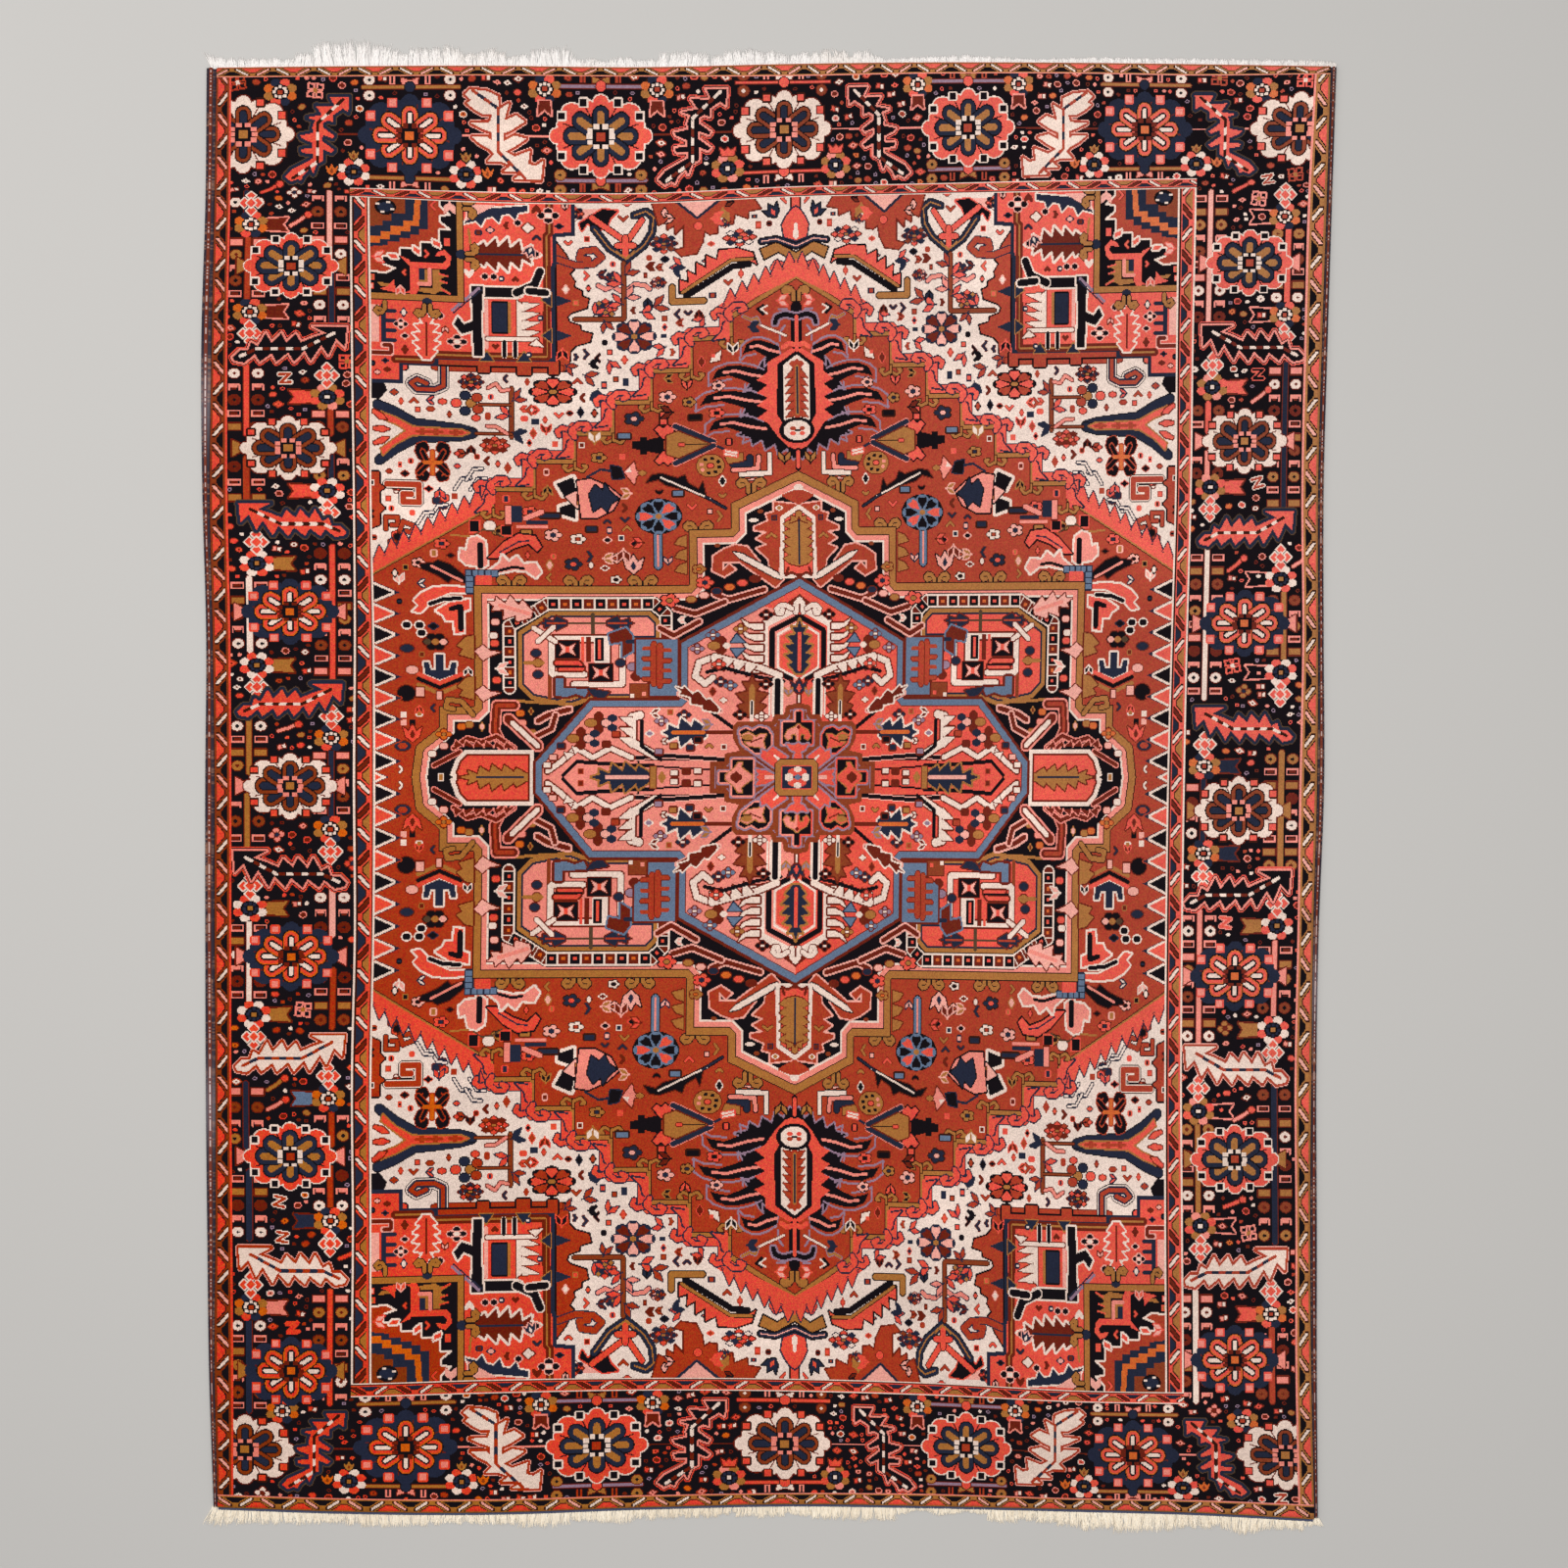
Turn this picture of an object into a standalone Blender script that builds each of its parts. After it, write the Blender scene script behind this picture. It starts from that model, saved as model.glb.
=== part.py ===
"""A hand-knotted room rug, laid flat: the woven body, the two overcast side selvedges and a fringe of
warp ends along each end. Metres, +Z up, +Y towards the end with the long tufts, underside at z = 0."""

import math

import bpy

# Driving dimensions
WOVEN_WIDTH = 3.003  # between the mean outer edges of the selvedges
WOVEN_LENGTH = 3.880  # between the mean ends of the pile
BODY_THICKNESS = 0.010  # foundation and clipped pile
SELVEDGE_THICKNESS = 0.008
FRINGE_THICKNESS = 0.003
GAP = 0.0003  # between neighbouring pieces
STATION = 0.060  # spacing of the points along a woven edge
TOOTH_PITCH = 0.024  # one lock of warp ends
NOTCH_SHARE = 0.45  # depth at which two locks part, as a share of their length
SHORT_LOCK = 0.90  # every other lock is this much of its neighbour
CENTRE_STEPS = 6  # passes that settle a corner on both of its edges
MM = 0.001

COLLECTION_NAME = "persian_rug"

# How the sides wander, in mm. "along" runs from the middle towards the top end, "_out" is outwards
# from the mean edge and "_width" is the overcast selvedge's own width.
SIDE_COLUMNS = ("along", "left_out", "left_width", "right_out", "right_width")
SIDE_ROWS = (
    (-1975, -20, 12, -13, 13),
    (-1730, -12, 16, -12, 18),
    (-1520, -7, 18, -17, 16),
    (-1180, -3, 24, -16, 18),
    (-915, -1, 26, -15, 18),
    (-675, 2, 27, -17, 14),
    (-385, 3, 24, -10, 16),
    (-95, 8, 23, 2, 20),
    (140, -3, 20, 5, 20),
    (430, 1, 21, 1, 16),
    (670, 5, 23, 0, 15),
    (930, 14, 26, 5, 15),
    (1195, 13, 28, 13, 16),
    (1590, 2, 26, 25, 15),
    (1960, -1, 27, 37, 16),
)

# How the ends wander, in mm. "across" runs from the middle towards +X, "_out" is outwards.
END_COLUMNS = ("across", "top_out", "bottom_out")
END_ROWS = (
    (-1560, -4, -5),
    (-1265, -3, -3),
    (-1000, -1, 10),
    (-740, -1, 9),
    (-540, -3, 8),
    (-340, -4, -4),
    (-210, -7, -15),
    (-80, -3, -20),
    (55, 3, -14),
    (315, 7, -16),
    (580, 7, -10),
    (845, 7, 4),
    (1105, 4, 7),
    (1370, 1, 20),
    (1560, -3, 26),
)

# Length of the fringe, in mm, where it changes: worn short in places, long tufts in others.
FRINGE_COLUMNS = ("across", "length")
TOP_FRINGE_ROWS = (
    (-1510, 45), (-1490, 47), (-1478, 29), (-1395, 24), (-1290, 26), (-1265, 21),
    (-1240, 47), (-1210, 21), (-1198, 66), (-1085, 66), (-1000, 50), (-970, 21),
    (-955, 47), (-835, 55), (-805, 32), (-730, 50), (-705, 29), (-645, 32),
    (-585, 53), (-535, 53), (-518, 18), (-475, 26), (-415, 13), (-400, 32),
    (-340, 21), (-290, 26), (-260, 46), (-180, 45), (-152, 13), (-120, 36),
    (-80, 47), (-25, 45), (30, 37), (70, 24), (92, 40), (112, 21),
    (135, 37), (150, 18), (166, 42), (182, 21), (205, 37), (228, 21),
    (272, 40), (290, 21), (330, 13), (395, 18), (540, 24), (660, 16),
    (740, 13), (870, 18), (1240, 18), (1490, 18), (1545, 11),
)
BOTTOM_FRINGE_ROWS = (
    (-1510, 42), (-1470, 50), (-1395, 45), (-1265, 45), (-1135, 37), (-1065, 42),
    (-990, 40), (-870, 32), (-805, 32), (-740, 37), (-660, 34), (-620, 42),
    (-555, 40), (-520, 26), (-450, 34), (-365, 42), (-350, 29), (-310, 37),
    (-210, 40), (-130, 45), (-100, 32), (-45, 42), (15, 42), (60, 29),
    (130, 40), (235, 45), (330, 50), (355, 32), (420, 21), (485, 34),
    (540, 21), (595, 29), (625, 50), (700, 34), (790, 40), (870, 55),
    (910, 45), (955, 55), (1085, 53), (1140, 42), (1170, 47), (1210, 34),
    (1270, 50), (1310, 53), (1350, 37), (1435, 37), (1460, 24), (1505, 24),
)


def column(rows, names, name):
    """One column of a table against its first, in metres."""
    index = names.index(name)
    return [(row[0] * MM, row[index] * MM) for row in rows]


def smooth_at(pairs, at):
    """A rounded line through the pairs, read at one place."""
    last = len(pairs) - 1
    at = min(max(at, pairs[0][0]), pairs[last][0])
    left = next(i for i in range(last) if at <= pairs[i + 1][0])
    (x0, y0), (x1, y1) = pairs[left], pairs[left + 1]
    before, after = pairs[max(left - 1, 0)], pairs[min(left + 2, last)]
    span = x1 - x0
    t = (at - x0) / span
    slope0 = (y1 - before[1]) / (x1 - before[0]) * span
    slope1 = (after[1] - y0) / (after[0] - x0) * span
    return (
        (2 * t**3 - 3 * t**2 + 1) * y0
        + (t**3 - 2 * t**2 + t) * slope0
        + (3 * t**2 - 2 * t**3) * y1
        + (t**3 - t**2) * slope1
    )


def straight_at(pairs, at):
    """Straight runs through the pairs, read at one place."""
    last = len(pairs) - 1
    at = min(max(at, pairs[0][0]), pairs[last][0])
    left = next(i for i in range(last) if at <= pairs[i + 1][0])
    (x0, y0), (x1, y1) = pairs[left], pairs[left + 1]
    return y0 + (y1 - y0) * (at - x0) / (x1 - x0)


def stations(reach):
    """Evenly spaced places from -reach to reach."""
    count = math.ceil(2 * reach / STATION)
    return [reach * (2 * i / count - 1) for i in range(count + 1)]


def side_edge(side, inset):
    """The x of one side's outer edge, or of its pile edge when inset is 1, against y."""
    sign = {"left": -1, "right": 1}[side]
    out = column(SIDE_ROWS, SIDE_COLUMNS, side + "_out")
    width = column(SIDE_ROWS, SIDE_COLUMNS, side + "_width")
    return [
        (y, sign * (WOVEN_WIDTH / 2 + smooth_at(out, y) - inset * smooth_at(width, y)))
        for y in stations(WOVEN_LENGTH / 2 + STATION)
    ]


def end_edge(end):
    """The y of one end of the weave against x."""
    sign = {"bottom": -1, "top": 1}[end]
    out = column(END_ROWS, END_COLUMNS, end + "_out")
    return [
        (x, sign * (WOVEN_LENGTH / 2 + smooth_at(out, x)))
        for x in stations(WOVEN_WIDTH / 2 + STATION)
    ]


def corner(side_line, end_line, shift):
    """Where a side, moved by shift in x, meets an end."""
    y = end_line[0][1]
    for _ in range(CENTRE_STEPS):
        x = straight_at(side_line, y) + shift
        y = straight_at(end_line, x)
    return x, y


def run_along_end(end_line, start, stop):
    """The points of an end from one corner to the other, in the order given."""
    low, high = sorted((start[0], stop[0]))
    inner = [(x, y) for x, y in end_line if low + GAP < x < high - GAP]
    return [start] + (inner if start[0] < stop[0] else inner[::-1]) + [stop]


def run_along_side(side_line, shift, start, stop):
    """The points of a side strictly between two corners, in the order given."""
    low, high = sorted((start[1], stop[1]))
    inner = [(x + shift, y) for y, x in side_line if low + GAP < y < high - GAP]
    return inner if start[1] < stop[1] else inner[::-1]


def strip_outline(left_line, left_shift, right_line, right_shift, ends):
    """A closed outline between two sides and the two ends, anticlockwise."""
    corners = {
        (side, end): corner(line, ends[end], shift)
        for side, line, shift in (("left", left_line, left_shift), ("right", right_line, right_shift))
        for end in ends
    }
    return (
        run_along_end(ends["bottom"], corners["left", "bottom"], corners["right", "bottom"])
        + run_along_side(right_line, right_shift, corners["right", "bottom"], corners["right", "top"])
        + run_along_end(ends["top"], corners["right", "top"], corners["left", "top"])
        + run_along_side(left_line, left_shift, corners["left", "top"], corners["left", "bottom"])
    )


def comb_outline(end, end_line, start, stop, length_rows):
    """The root line along the weave, then locks of the table's length back along it."""
    sign = {"bottom": -1, "top": 1}[end]
    lengths = column(length_rows, FRINGE_COLUMNS, "length")
    root = [(x, y + sign * GAP) for x, y in run_along_end(end_line, start, stop)]
    count = round((stop[0] - start[0]) / TOOTH_PITCH)
    pitch = (stop[0] - start[0]) / count
    tips = []
    for i in range(count):
        share = 1 if i % 2 else SHORT_LOCK
        for place, part in ((0, NOTCH_SHARE), (0.3, share), (0.7, share)):
            x = start[0] + (i + place) * pitch
            y = straight_at(end_line, x) + sign * (GAP + straight_at(lengths, x) * part)
            tips.append((x, y))
    tips.append((stop[0], stop[1] + sign * (GAP + straight_at(lengths, stop[0]) * NOTCH_SHARE)))
    return root + tips[::-1]


def flat_piece(name, outline, thickness, shift, material):
    """A sheet of the outline with its underside on the floor."""
    curve = bpy.data.curves.new(name, "CURVE")
    curve.dimensions = "2D"
    curve.fill_mode = "BOTH"
    curve.extrude = thickness / 2
    spline = curve.splines.new("POLY")
    spline.points.add(len(outline) - 1)
    for point, (x, y) in zip(spline.points, outline):
        point.co = (x + shift[0], y + shift[1], 0, 1)
    spline.use_cyclic_u = True
    curve.materials.append(material)
    piece = bpy.data.objects.new(name, curve)
    piece.location.z = thickness / 2
    return piece


def cloth_material(name, colour, roughness):
    material = bpy.data.materials.new(name)
    material.use_nodes = True
    shader = material.node_tree.nodes["Principled BSDF"]
    shader.inputs["Base Color"].default_value = (*colour, 1)
    shader.inputs["Roughness"].default_value = roughness
    shader.inputs["Metallic"].default_value = 0
    return material


def build():
    for stale in list(bpy.data.objects):
        bpy.data.objects.remove(stale)
    rug = bpy.data.collections.new(COLLECTION_NAME)
    bpy.context.scene.collection.children.link(rug)

    pile_wool = cloth_material("pile_wool", (0.36, 0.07, 0.045), 0.9)
    selvedge_wool = cloth_material("selvedge_wool", (0.05, 0.03, 0.04), 0.9)
    fringe_cotton = cloth_material("fringe_cotton", (0.78, 0.74, 0.66), 0.85)

    ends = {end: end_edge(end) for end in ("bottom", "top")}
    outer = {side: side_edge(side, 0) for side in ("left", "right")}
    pile = {side: side_edge(side, 1) for side in ("left", "right")}

    body = strip_outline(pile["left"], 0, pile["right"], 0, ends)
    left = strip_outline(outer["left"], 0, pile["left"], -GAP, ends)
    right = strip_outline(pile["right"], GAP, outer["right"], 0, ends)
    combs = {}
    for end, rows in (("top", TOP_FRINGE_ROWS), ("bottom", BOTTOM_FRINGE_ROWS)):
        start = corner(outer["left"], ends[end], 0)
        stop = corner(outer["right"], ends[end], 0)
        combs[end] = comb_outline(end, ends[end], start, stop, rows)

    points = body + left + right + combs["top"] + combs["bottom"]
    shift = [-(min(p[i] for p in points) + max(p[i] for p in points)) / 2 for i in (0, 1)]
    for name, outline, thickness, material in (
        ("rug_body", body, BODY_THICKNESS, pile_wool),
        ("selvedge_left", left, SELVEDGE_THICKNESS, selvedge_wool),
        ("selvedge_right", right, SELVEDGE_THICKNESS, selvedge_wool),
        ("fringe_top", combs["top"], FRINGE_THICKNESS, fringe_cotton),
        ("fringe_bottom", combs["bottom"], FRINGE_THICKNESS, fringe_cotton),
    ):
        rug.objects.link(flat_piece(name, outline, thickness, shift, material))


build()
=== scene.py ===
import math

import bpy
import numpy as np
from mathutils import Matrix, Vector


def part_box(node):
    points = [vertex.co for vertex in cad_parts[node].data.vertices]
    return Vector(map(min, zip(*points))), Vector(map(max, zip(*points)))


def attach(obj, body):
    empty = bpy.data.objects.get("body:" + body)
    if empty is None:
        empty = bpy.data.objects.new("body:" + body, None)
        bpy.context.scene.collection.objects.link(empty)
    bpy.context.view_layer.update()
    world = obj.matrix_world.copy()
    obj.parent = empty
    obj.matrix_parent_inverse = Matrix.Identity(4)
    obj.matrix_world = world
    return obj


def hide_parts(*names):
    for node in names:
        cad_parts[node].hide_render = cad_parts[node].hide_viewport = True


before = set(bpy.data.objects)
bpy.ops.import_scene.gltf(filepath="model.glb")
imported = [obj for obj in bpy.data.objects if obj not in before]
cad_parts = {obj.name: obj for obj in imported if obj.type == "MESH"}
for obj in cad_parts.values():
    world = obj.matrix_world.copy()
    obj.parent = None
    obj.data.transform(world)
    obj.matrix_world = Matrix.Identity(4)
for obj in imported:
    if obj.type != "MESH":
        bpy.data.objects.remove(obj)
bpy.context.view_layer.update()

for stale in [o for o in bpy.data.objects if o.type in {"LIGHT", "CAMERA"}]:
    bpy.data.objects.remove(stale)

# The photo's frame. Pixels are used only to say where a thing lies, and a pixel is a size in metres.
shot = dict(pixel=0.002634, frame=1600, midX=780, midY=803.5, shiftX=-0.0115, shiftY=0.001,
            lens=85, sensor=36, rugTop=0.01, farthest=60)


def planOf(x, y):  # photo pixel to metres on the floor
    across, along = x - shot["midX"], shot["midY"] - y
    return across * shot["pixel"] + shot["shiftX"], along * shot["pixel"] + shot["shiftY"]


# Each lamp has its place, its size and its power.
stage = dict(floorReach=24, floorColour=(0.48, 0.465, 0.445, 1), floorRoughness=0.8, daylight=0.42,
             lamps=dict(softbox=(0, 0.6, 7.5, 7, 500), side=(-5.5, 3.5, 3.5, 3, 110)))


def makeStage():
    camera = bpy.data.objects.new("camera", bpy.data.cameras.new("camera"))
    camera.data.lens, camera.data.sensor_width = shot["lens"], shot["sensor"]
    across = shot["frame"] * shot["pixel"]
    x, y = planOf(shot["frame"] / 2, shot["frame"] / 2)
    camera.location = (x, y, across * shot["lens"] / shot["sensor"] + shot["rugTop"])
    camera.data.clip_end = shot["farthest"]
    bpy.context.scene.collection.objects.link(camera)
    bpy.context.scene.camera = camera

    mesh = bpy.data.meshes.new("floor")
    reach = stage["floorReach"]
    corners = [(-reach, -reach, 0), (reach, -reach, 0), (reach, reach, 0), (-reach, reach, 0)]
    mesh.from_pydata(corners, [], [(0, 1, 2, 3)])
    floor = bpy.data.objects.new("floor", mesh)
    bpy.context.scene.collection.objects.link(floor)
    paint = bpy.data.materials.new("plain_floor")
    paint.use_nodes = True
    shader = paint.node_tree.nodes["Principled BSDF"]
    shader.inputs["Base Color"].default_value = stage["floorColour"]
    shader.inputs["Roughness"].default_value = stage["floorRoughness"]
    mesh.materials.append(paint)

    for name, (lx, ly, lz, size, power) in stage["lamps"].items():
        lamp = bpy.data.objects.new(name, bpy.data.lights.new(name, "AREA"))
        lamp.data.size, lamp.data.energy = size, power
        lamp.location = (lx, ly, lz)
        lamp.rotation_euler = (-lamp.location).to_track_quat("-Z", "Y").to_euler()
        bpy.context.scene.collection.objects.link(lamp)
    world = bpy.data.worlds.new("studio")
    world.use_nodes = True
    backdrop = world.node_tree.nodes["Background"]
    backdrop.inputs["Color"].default_value = (1, 1, 1, 1)
    backdrop.inputs["Strength"].default_value = stage["daylight"]
    bpy.context.scene.world = world
    bpy.context.scene.view_settings.view_transform = "Standard"
    print("stage set")


makeStage()

# The knot chart. One letter is one dyed wool, in the order of the shader's ramp.
wool = dict(
    k="171116", n="272b3c", b="64748c", l="94788a", r="ab402a", c="e55645", s="ee8a7b", p="f0a697",
    w="edd2c2", g="aa6e3a", m="6c2618", y="883e24", o="d2652f", d="3a1b12", i="ecd4c6", e="55402f")
letters = "".join(wool)

# Where the bands' edges run, in photo pixels: each row holds one line's places at the stations.
stationY = (70, 200, 350, 500, 650, 800, 950, 1100, 1250, 1400, 1540)
columnLines = (
    (221, 219, 216, 214, 217, 219, 219, 220, 220, 219, 222),
    (236, 235, 232, 232, 235, 236, 236, 236, 237, 238, 238),
    (357, 357, 358, 360, 361, 360, 361, 358, 359, 358, 358),
    (377, 377, 379, 379, 382, 383, 382, 379, 379, 379, 379),
    (812, 812, 813, 815, 816, 814, 812, 811, 811, 811, 811),
    (1202, 1202, 1200, 1199, 1195, 1191, 1189, 1188, 1188, 1189, 1189),
    (1222, 1221, 1218, 1216, 1212, 1209, 1207, 1206, 1207, 1208, 1208),
    (1342, 1335, 1331, 1328, 1329, 1326, 1324, 1321, 1322, 1322, 1325),
    (1358, 1354, 1349, 1345, 1345, 1344, 1340, 1338, 1337, 1338, 1341))
stationX = (218, 350, 500, 650, 812, 950, 1100, 1225, 1350)
rowLines = (
    (69.5, 68, 67.5, 69, 65.6, 64, 64.5, 66, 68),
    (79, 78, 77, 78, 77.5, 75, 75, 77, 75.5),
    (191, 191.5, 195.5, 197, 190, 187, 183.5, 182, 182),
    (200, 200.5, 207, 208, 201, 198, 195, 192, 191),
    (793, 793, 793, 793, 793, 793, 793, 793, 793),
    (1411, 1412, 1408, 1406, 1407, 1411, 1419, 1421, 1421),
    (1426, 1426, 1422, 1419, 1420, 1424, 1431, 1433, 1434),
    (1525, 1529, 1530, 1526, 1523.5, 1524.5, 1529, 1531, 1536),
    (1538, 1542.5, 1543.5, 1538.5, 1535, 1537, 1540.5, 1544, 1551))
knots = dict(guard=16, main=120, inner=20, half=432, guardEnd=12, mainEnd=108, innerEnd=12, halfEnd=592)
columnsAt = np.cumsum([0, knots["guard"], knots["main"], knots["inner"], knots["half"],
                       knots["half"], knots["inner"], knots["main"], knots["guard"]])
rowsAt = np.cumsum([0, knots["guardEnd"], knots["mainEnd"], knots["innerEnd"], knots["halfEnd"],
                    knots["halfEnd"], knots["innerEnd"], knots["mainEnd"], knots["guardEnd"]])
knotsAcross, knotsDown = int(columnsAt[-1]), int(rowsAt[-1])
seeds = dict(borders=7, field=5)


def rounded(at, places, values):  # a smooth line through the stations
    places, values = np.asarray(places, float), np.asarray(values, float)
    slope = np.gradient(values, places)
    at = np.clip(at, places[0], places[-1])
    left = np.clip(np.searchsorted(places, at) - 1, 0, len(places) - 2)
    span = places[left + 1] - places[left]
    t = (at - places[left]) / span
    return ((2 * t**3 - 3 * t**2 + 1) * values[left] + (t**3 - 2 * t**2 + t) * span * slope[left]
            + (3 * t**2 - 2 * t**3) * values[left + 1] + (t**3 - t**2) * span * slope[left + 1])


def chartOf(x, y):  # photo pixel to knots
    return (np.interp(x, [rounded(y, stationY, line) for line in columnLines], columnsAt),
            np.interp(y, [rounded(x, stationX, line) for line in rowLines], rowsAt))


def pixelOf(u, v):  # knots to photo pixel, for arrays
    x, y = 220 + u, 67 + v
    for _ in range(6):
        nearColumns = np.stack([rounded(y, stationY, line) for line in columnLines])
        nearRows = np.stack([rounded(x, stationX, line) for line in rowLines])
        x, y = between(u, columnsAt, nearColumns), between(v, rowsAt, nearRows)
    return x, y


def between(at, places, values):
    left = np.clip(np.searchsorted(places, at, side="right") - 1, 0, len(places) - 2)
    low, high = np.take_along_axis(values, left[None], 0)[0], np.take_along_axis(values, left[None] + 1, 0)[0]
    return low + (high - low) * (at - places[left]) / (places[left + 1] - places[left])


def pointsOf(shape):  # "x,y x,y" or a list of pairs
    if isinstance(shape, str):
        shape = [[float(value) for value in spot.split(",")] for spot in shape.split()]
    return np.array(shape, float)


def rowsOf(text):  # "12,-4,k 3,5.5,w" to rows of numbers and words
    return [[cell if cell.isalpha() else float(cell) if "." in cell else int(cell) for cell in row.split(",")]
            for row in text.split()]


def inside(x, y, spots):
    hit = np.zeros(x.shape, bool)
    for (x0, y0), (x1, y1) in zip(spots, np.roll(spots, -1, 0)):
        if y0 != y1:
            hit ^= ((y0 <= y) != (y1 <= y)) & (x < x0 + (y - y0) * (x1 - x0) / (y1 - y0))
    return hit


def distance(x, y, spots):
    best = np.full(x.shape, 1e9)
    for (x0, y0), (x1, y1) in zip(spots, spots[1:]):
        dx, dy = x1 - x0, y1 - y0
        t = np.clip(((x - x0) * dx + (y - y0) * dy) / max(dx * dx + dy * dy, 1e-9), 0, 1)
        best = np.minimum(best, np.hypot(x - x0 - t * dx, y - y0 - t * dy))
    return best


class Pen:  # ties knots into a chart, in its own turned and scaled place
    def __init__(self, ink, matrix=((1, 0), (0, 1)), origin=(0, 0)):
        self.ink, self.matrix, self.origin = ink, np.array(matrix, float), np.array(origin, float)

    def at(self, x, y, turn=0, wide=1, high=None):
        c, s = math.cos(math.radians(turn)), math.sin(math.radians(turn))
        high = abs(wide) if high is None else high
        matrix = self.matrix @ [[c * wide, -s * high], [s * wide, c * high]]
        return Pen(self.ink, matrix, self.origin + self.matrix @ (x, y))

    def patch(self, spots, margin):
        low = np.maximum(np.floor(spots.min(0) - margin), 0).astype(int)
        high = np.minimum(np.ceil(spots.max(0) + margin), self.ink.shape[::-1]).astype(int)
        high = np.maximum(high, low)
        y, x = np.mgrid[low[1]:high[1], low[0]:high[0]] + 0.5
        return self.ink[low[1]:high[1], low[0]:high[0]], x, y

    def fill(self, colour, shape, rim="", around=1.0):
        spots = self.origin + pointsOf(shape) @ self.matrix.T
        part, x, y = self.patch(spots, 2 + around)
        if rim:
            part[distance(x, y, np.vstack([spots, spots[:1]])) <= around + 0.3] = letters.index(rim)
        part[inside(x, y, spots)] = letters.index(colour)
        return self

    def line(self, colour, width, shape, rim="", around=1.0):
        spots = self.origin + pointsOf(shape) @ self.matrix.T
        part, x, y = self.patch(spots, 2 + width / 2 + around)
        far = distance(x, y, spots)
        if rim:
            part[far <= width / 2 + around] = letters.index(rim)
        part[far <= width / 2] = letters.index(colour)
        return self

    def cord(self, shape, recipe):  # nested lines, widest first: "k9 w5"
        for layer in recipe.split():
            self.line(layer[0], float(layer[1:]), shape)
        return self

    def dot(self, colour, x, y, rx, ry=None, rim="", around=1.0):
        ry = rx if ry is None else ry
        corners = np.array([[-1, -1], [1, -1], [1, 1], [-1, 1]]) * (rx, ry) + (x, y)
        spots = self.origin + corners @ self.matrix.T
        part, gx, gy = self.patch(spots, 2 + around)
        back = np.linalg.inv(self.matrix)
        gx, gy = gx - self.origin[0], gy - self.origin[1]
        lx, ly = gx * back[0, 0] + gy * back[0, 1] - x, gx * back[1, 0] + gy * back[1, 1] - y
        if rim:
            part[np.hypot(lx / (rx + around), ly / (ry + around)) <= 1] = letters.index(rim)
        part[np.hypot(lx / rx, ly / ry) <= 1] = letters.index(colour)
        return self

    def box(self, colour, x, y, w, h, rim="", around=1.0):
        left, right, top, bottom = x - w / 2, x + w / 2, y - h / 2, y + h / 2
        return self.fill(colour, [(left, top), (right, top), (right, bottom), (left, bottom)], rim, around)

    def saw(self, shape, colour, pitch, reach, rim="", lean=0.0, around=1.0):  # teeth on the left of a line
        spots = pointsOf(shape)
        teeth = []
        for (x0, y0), (x1, y1) in zip(spots, spots[1:]):
            run = math.hypot(x1 - x0, y1 - y0)
            count = max(round(run / pitch), 1)
            dx, dy = (x1 - x0) / run, (y1 - y0) / run
            for i in range(count):
                near, far, tip = i * run / count, (i + 1) * run / count, (i + 0.5 + lean) * run / count
                teeth.append([(x0 + dx * near, y0 + dy * near),
                              (x0 + dx * tip + dy * reach, y0 + dy * tip - dx * reach),
                              (x0 + dx * far, y0 + dy * far)])
        if rim:
            for tooth in teeth:
                self.line(rim, around * 2, tooth)
        for tooth in teeth:
            self.fill(colour, tooth)
        return self

    def bands(self, shape, recipe):  # nested bands inwards from the shape's edge
        y, x = np.mgrid[:self.ink.shape[0], :self.ink.shape[1]] + 0.5
        mask = inside(x, y, self.origin + pointsOf(shape) @ self.matrix.T)
        for band in recipe.split():
            self.ink[mask] = letters.index(band[0])
            for step in range(int(band[1:] or 0)):
                mask = shrink(mask, step % 2)
        return self


def shrink(mask, alsoCorners):
    p = np.pad(mask, 1, mode="edge")
    core = mask & p[:-2, 1:-1] & p[2:, 1:-1] & p[1:-1, :-2] & p[1:-1, 2:]
    if alsoCorners:
        core &= p[:-2, :-2] & p[2:, 2:] & p[:-2, 2:] & p[2:, :-2]
    return core


def ringOf(count, rx, ry, start=0.0):  # places round an ellipse
    for i in range(count):
        angle = 2 * math.pi * (i / count) + math.radians(start)
        yield rx * math.cos(angle), ry * math.sin(angle)


# The small ornaments are drawn about their own middles.
def blossom(pen, r, petal="c", heart="g", rim="k", petals=6, squash=0.7):
    for colour, more in ((rim, 1.1), (petal, 0)):
        for x, y in ringOf(petals, r * 0.62, r * 0.62 * squash):
            pen.dot(colour, x, y, r * 0.36 + more, r * 0.36 * squash + more)
    pen.dot(heart, 0, 0, r * 0.3, r * 0.3 * squash, rim, 0.8)


def wedges(pen, r, colours, heart="g", rim="n", squash=0.8, petals=8):  # a wheel of heart-shaped petals
    for x, y in ringOf(petals, r * 0.72, r * 0.72 * squash):
        pen.dot(rim, x, y, r * 0.33, r * 0.33 * squash)
    pen.dot(rim, 0, 0, r * 0.6, r * 0.6 * squash)
    for i in range(petals):
        petal = pen.at(0, 0, 0, r, r * squash).at(0, 0, 360 * i / petals)
        petal.fill(colours[i % len(colours)], "0.2,0 0.66,-0.25 0.9,-0.2 0.84,0 0.9,0.2 0.66,0.25")
    pen.dot(heart, 0, 0, r * 0.15, r * 0.15 * squash, rim)


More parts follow.
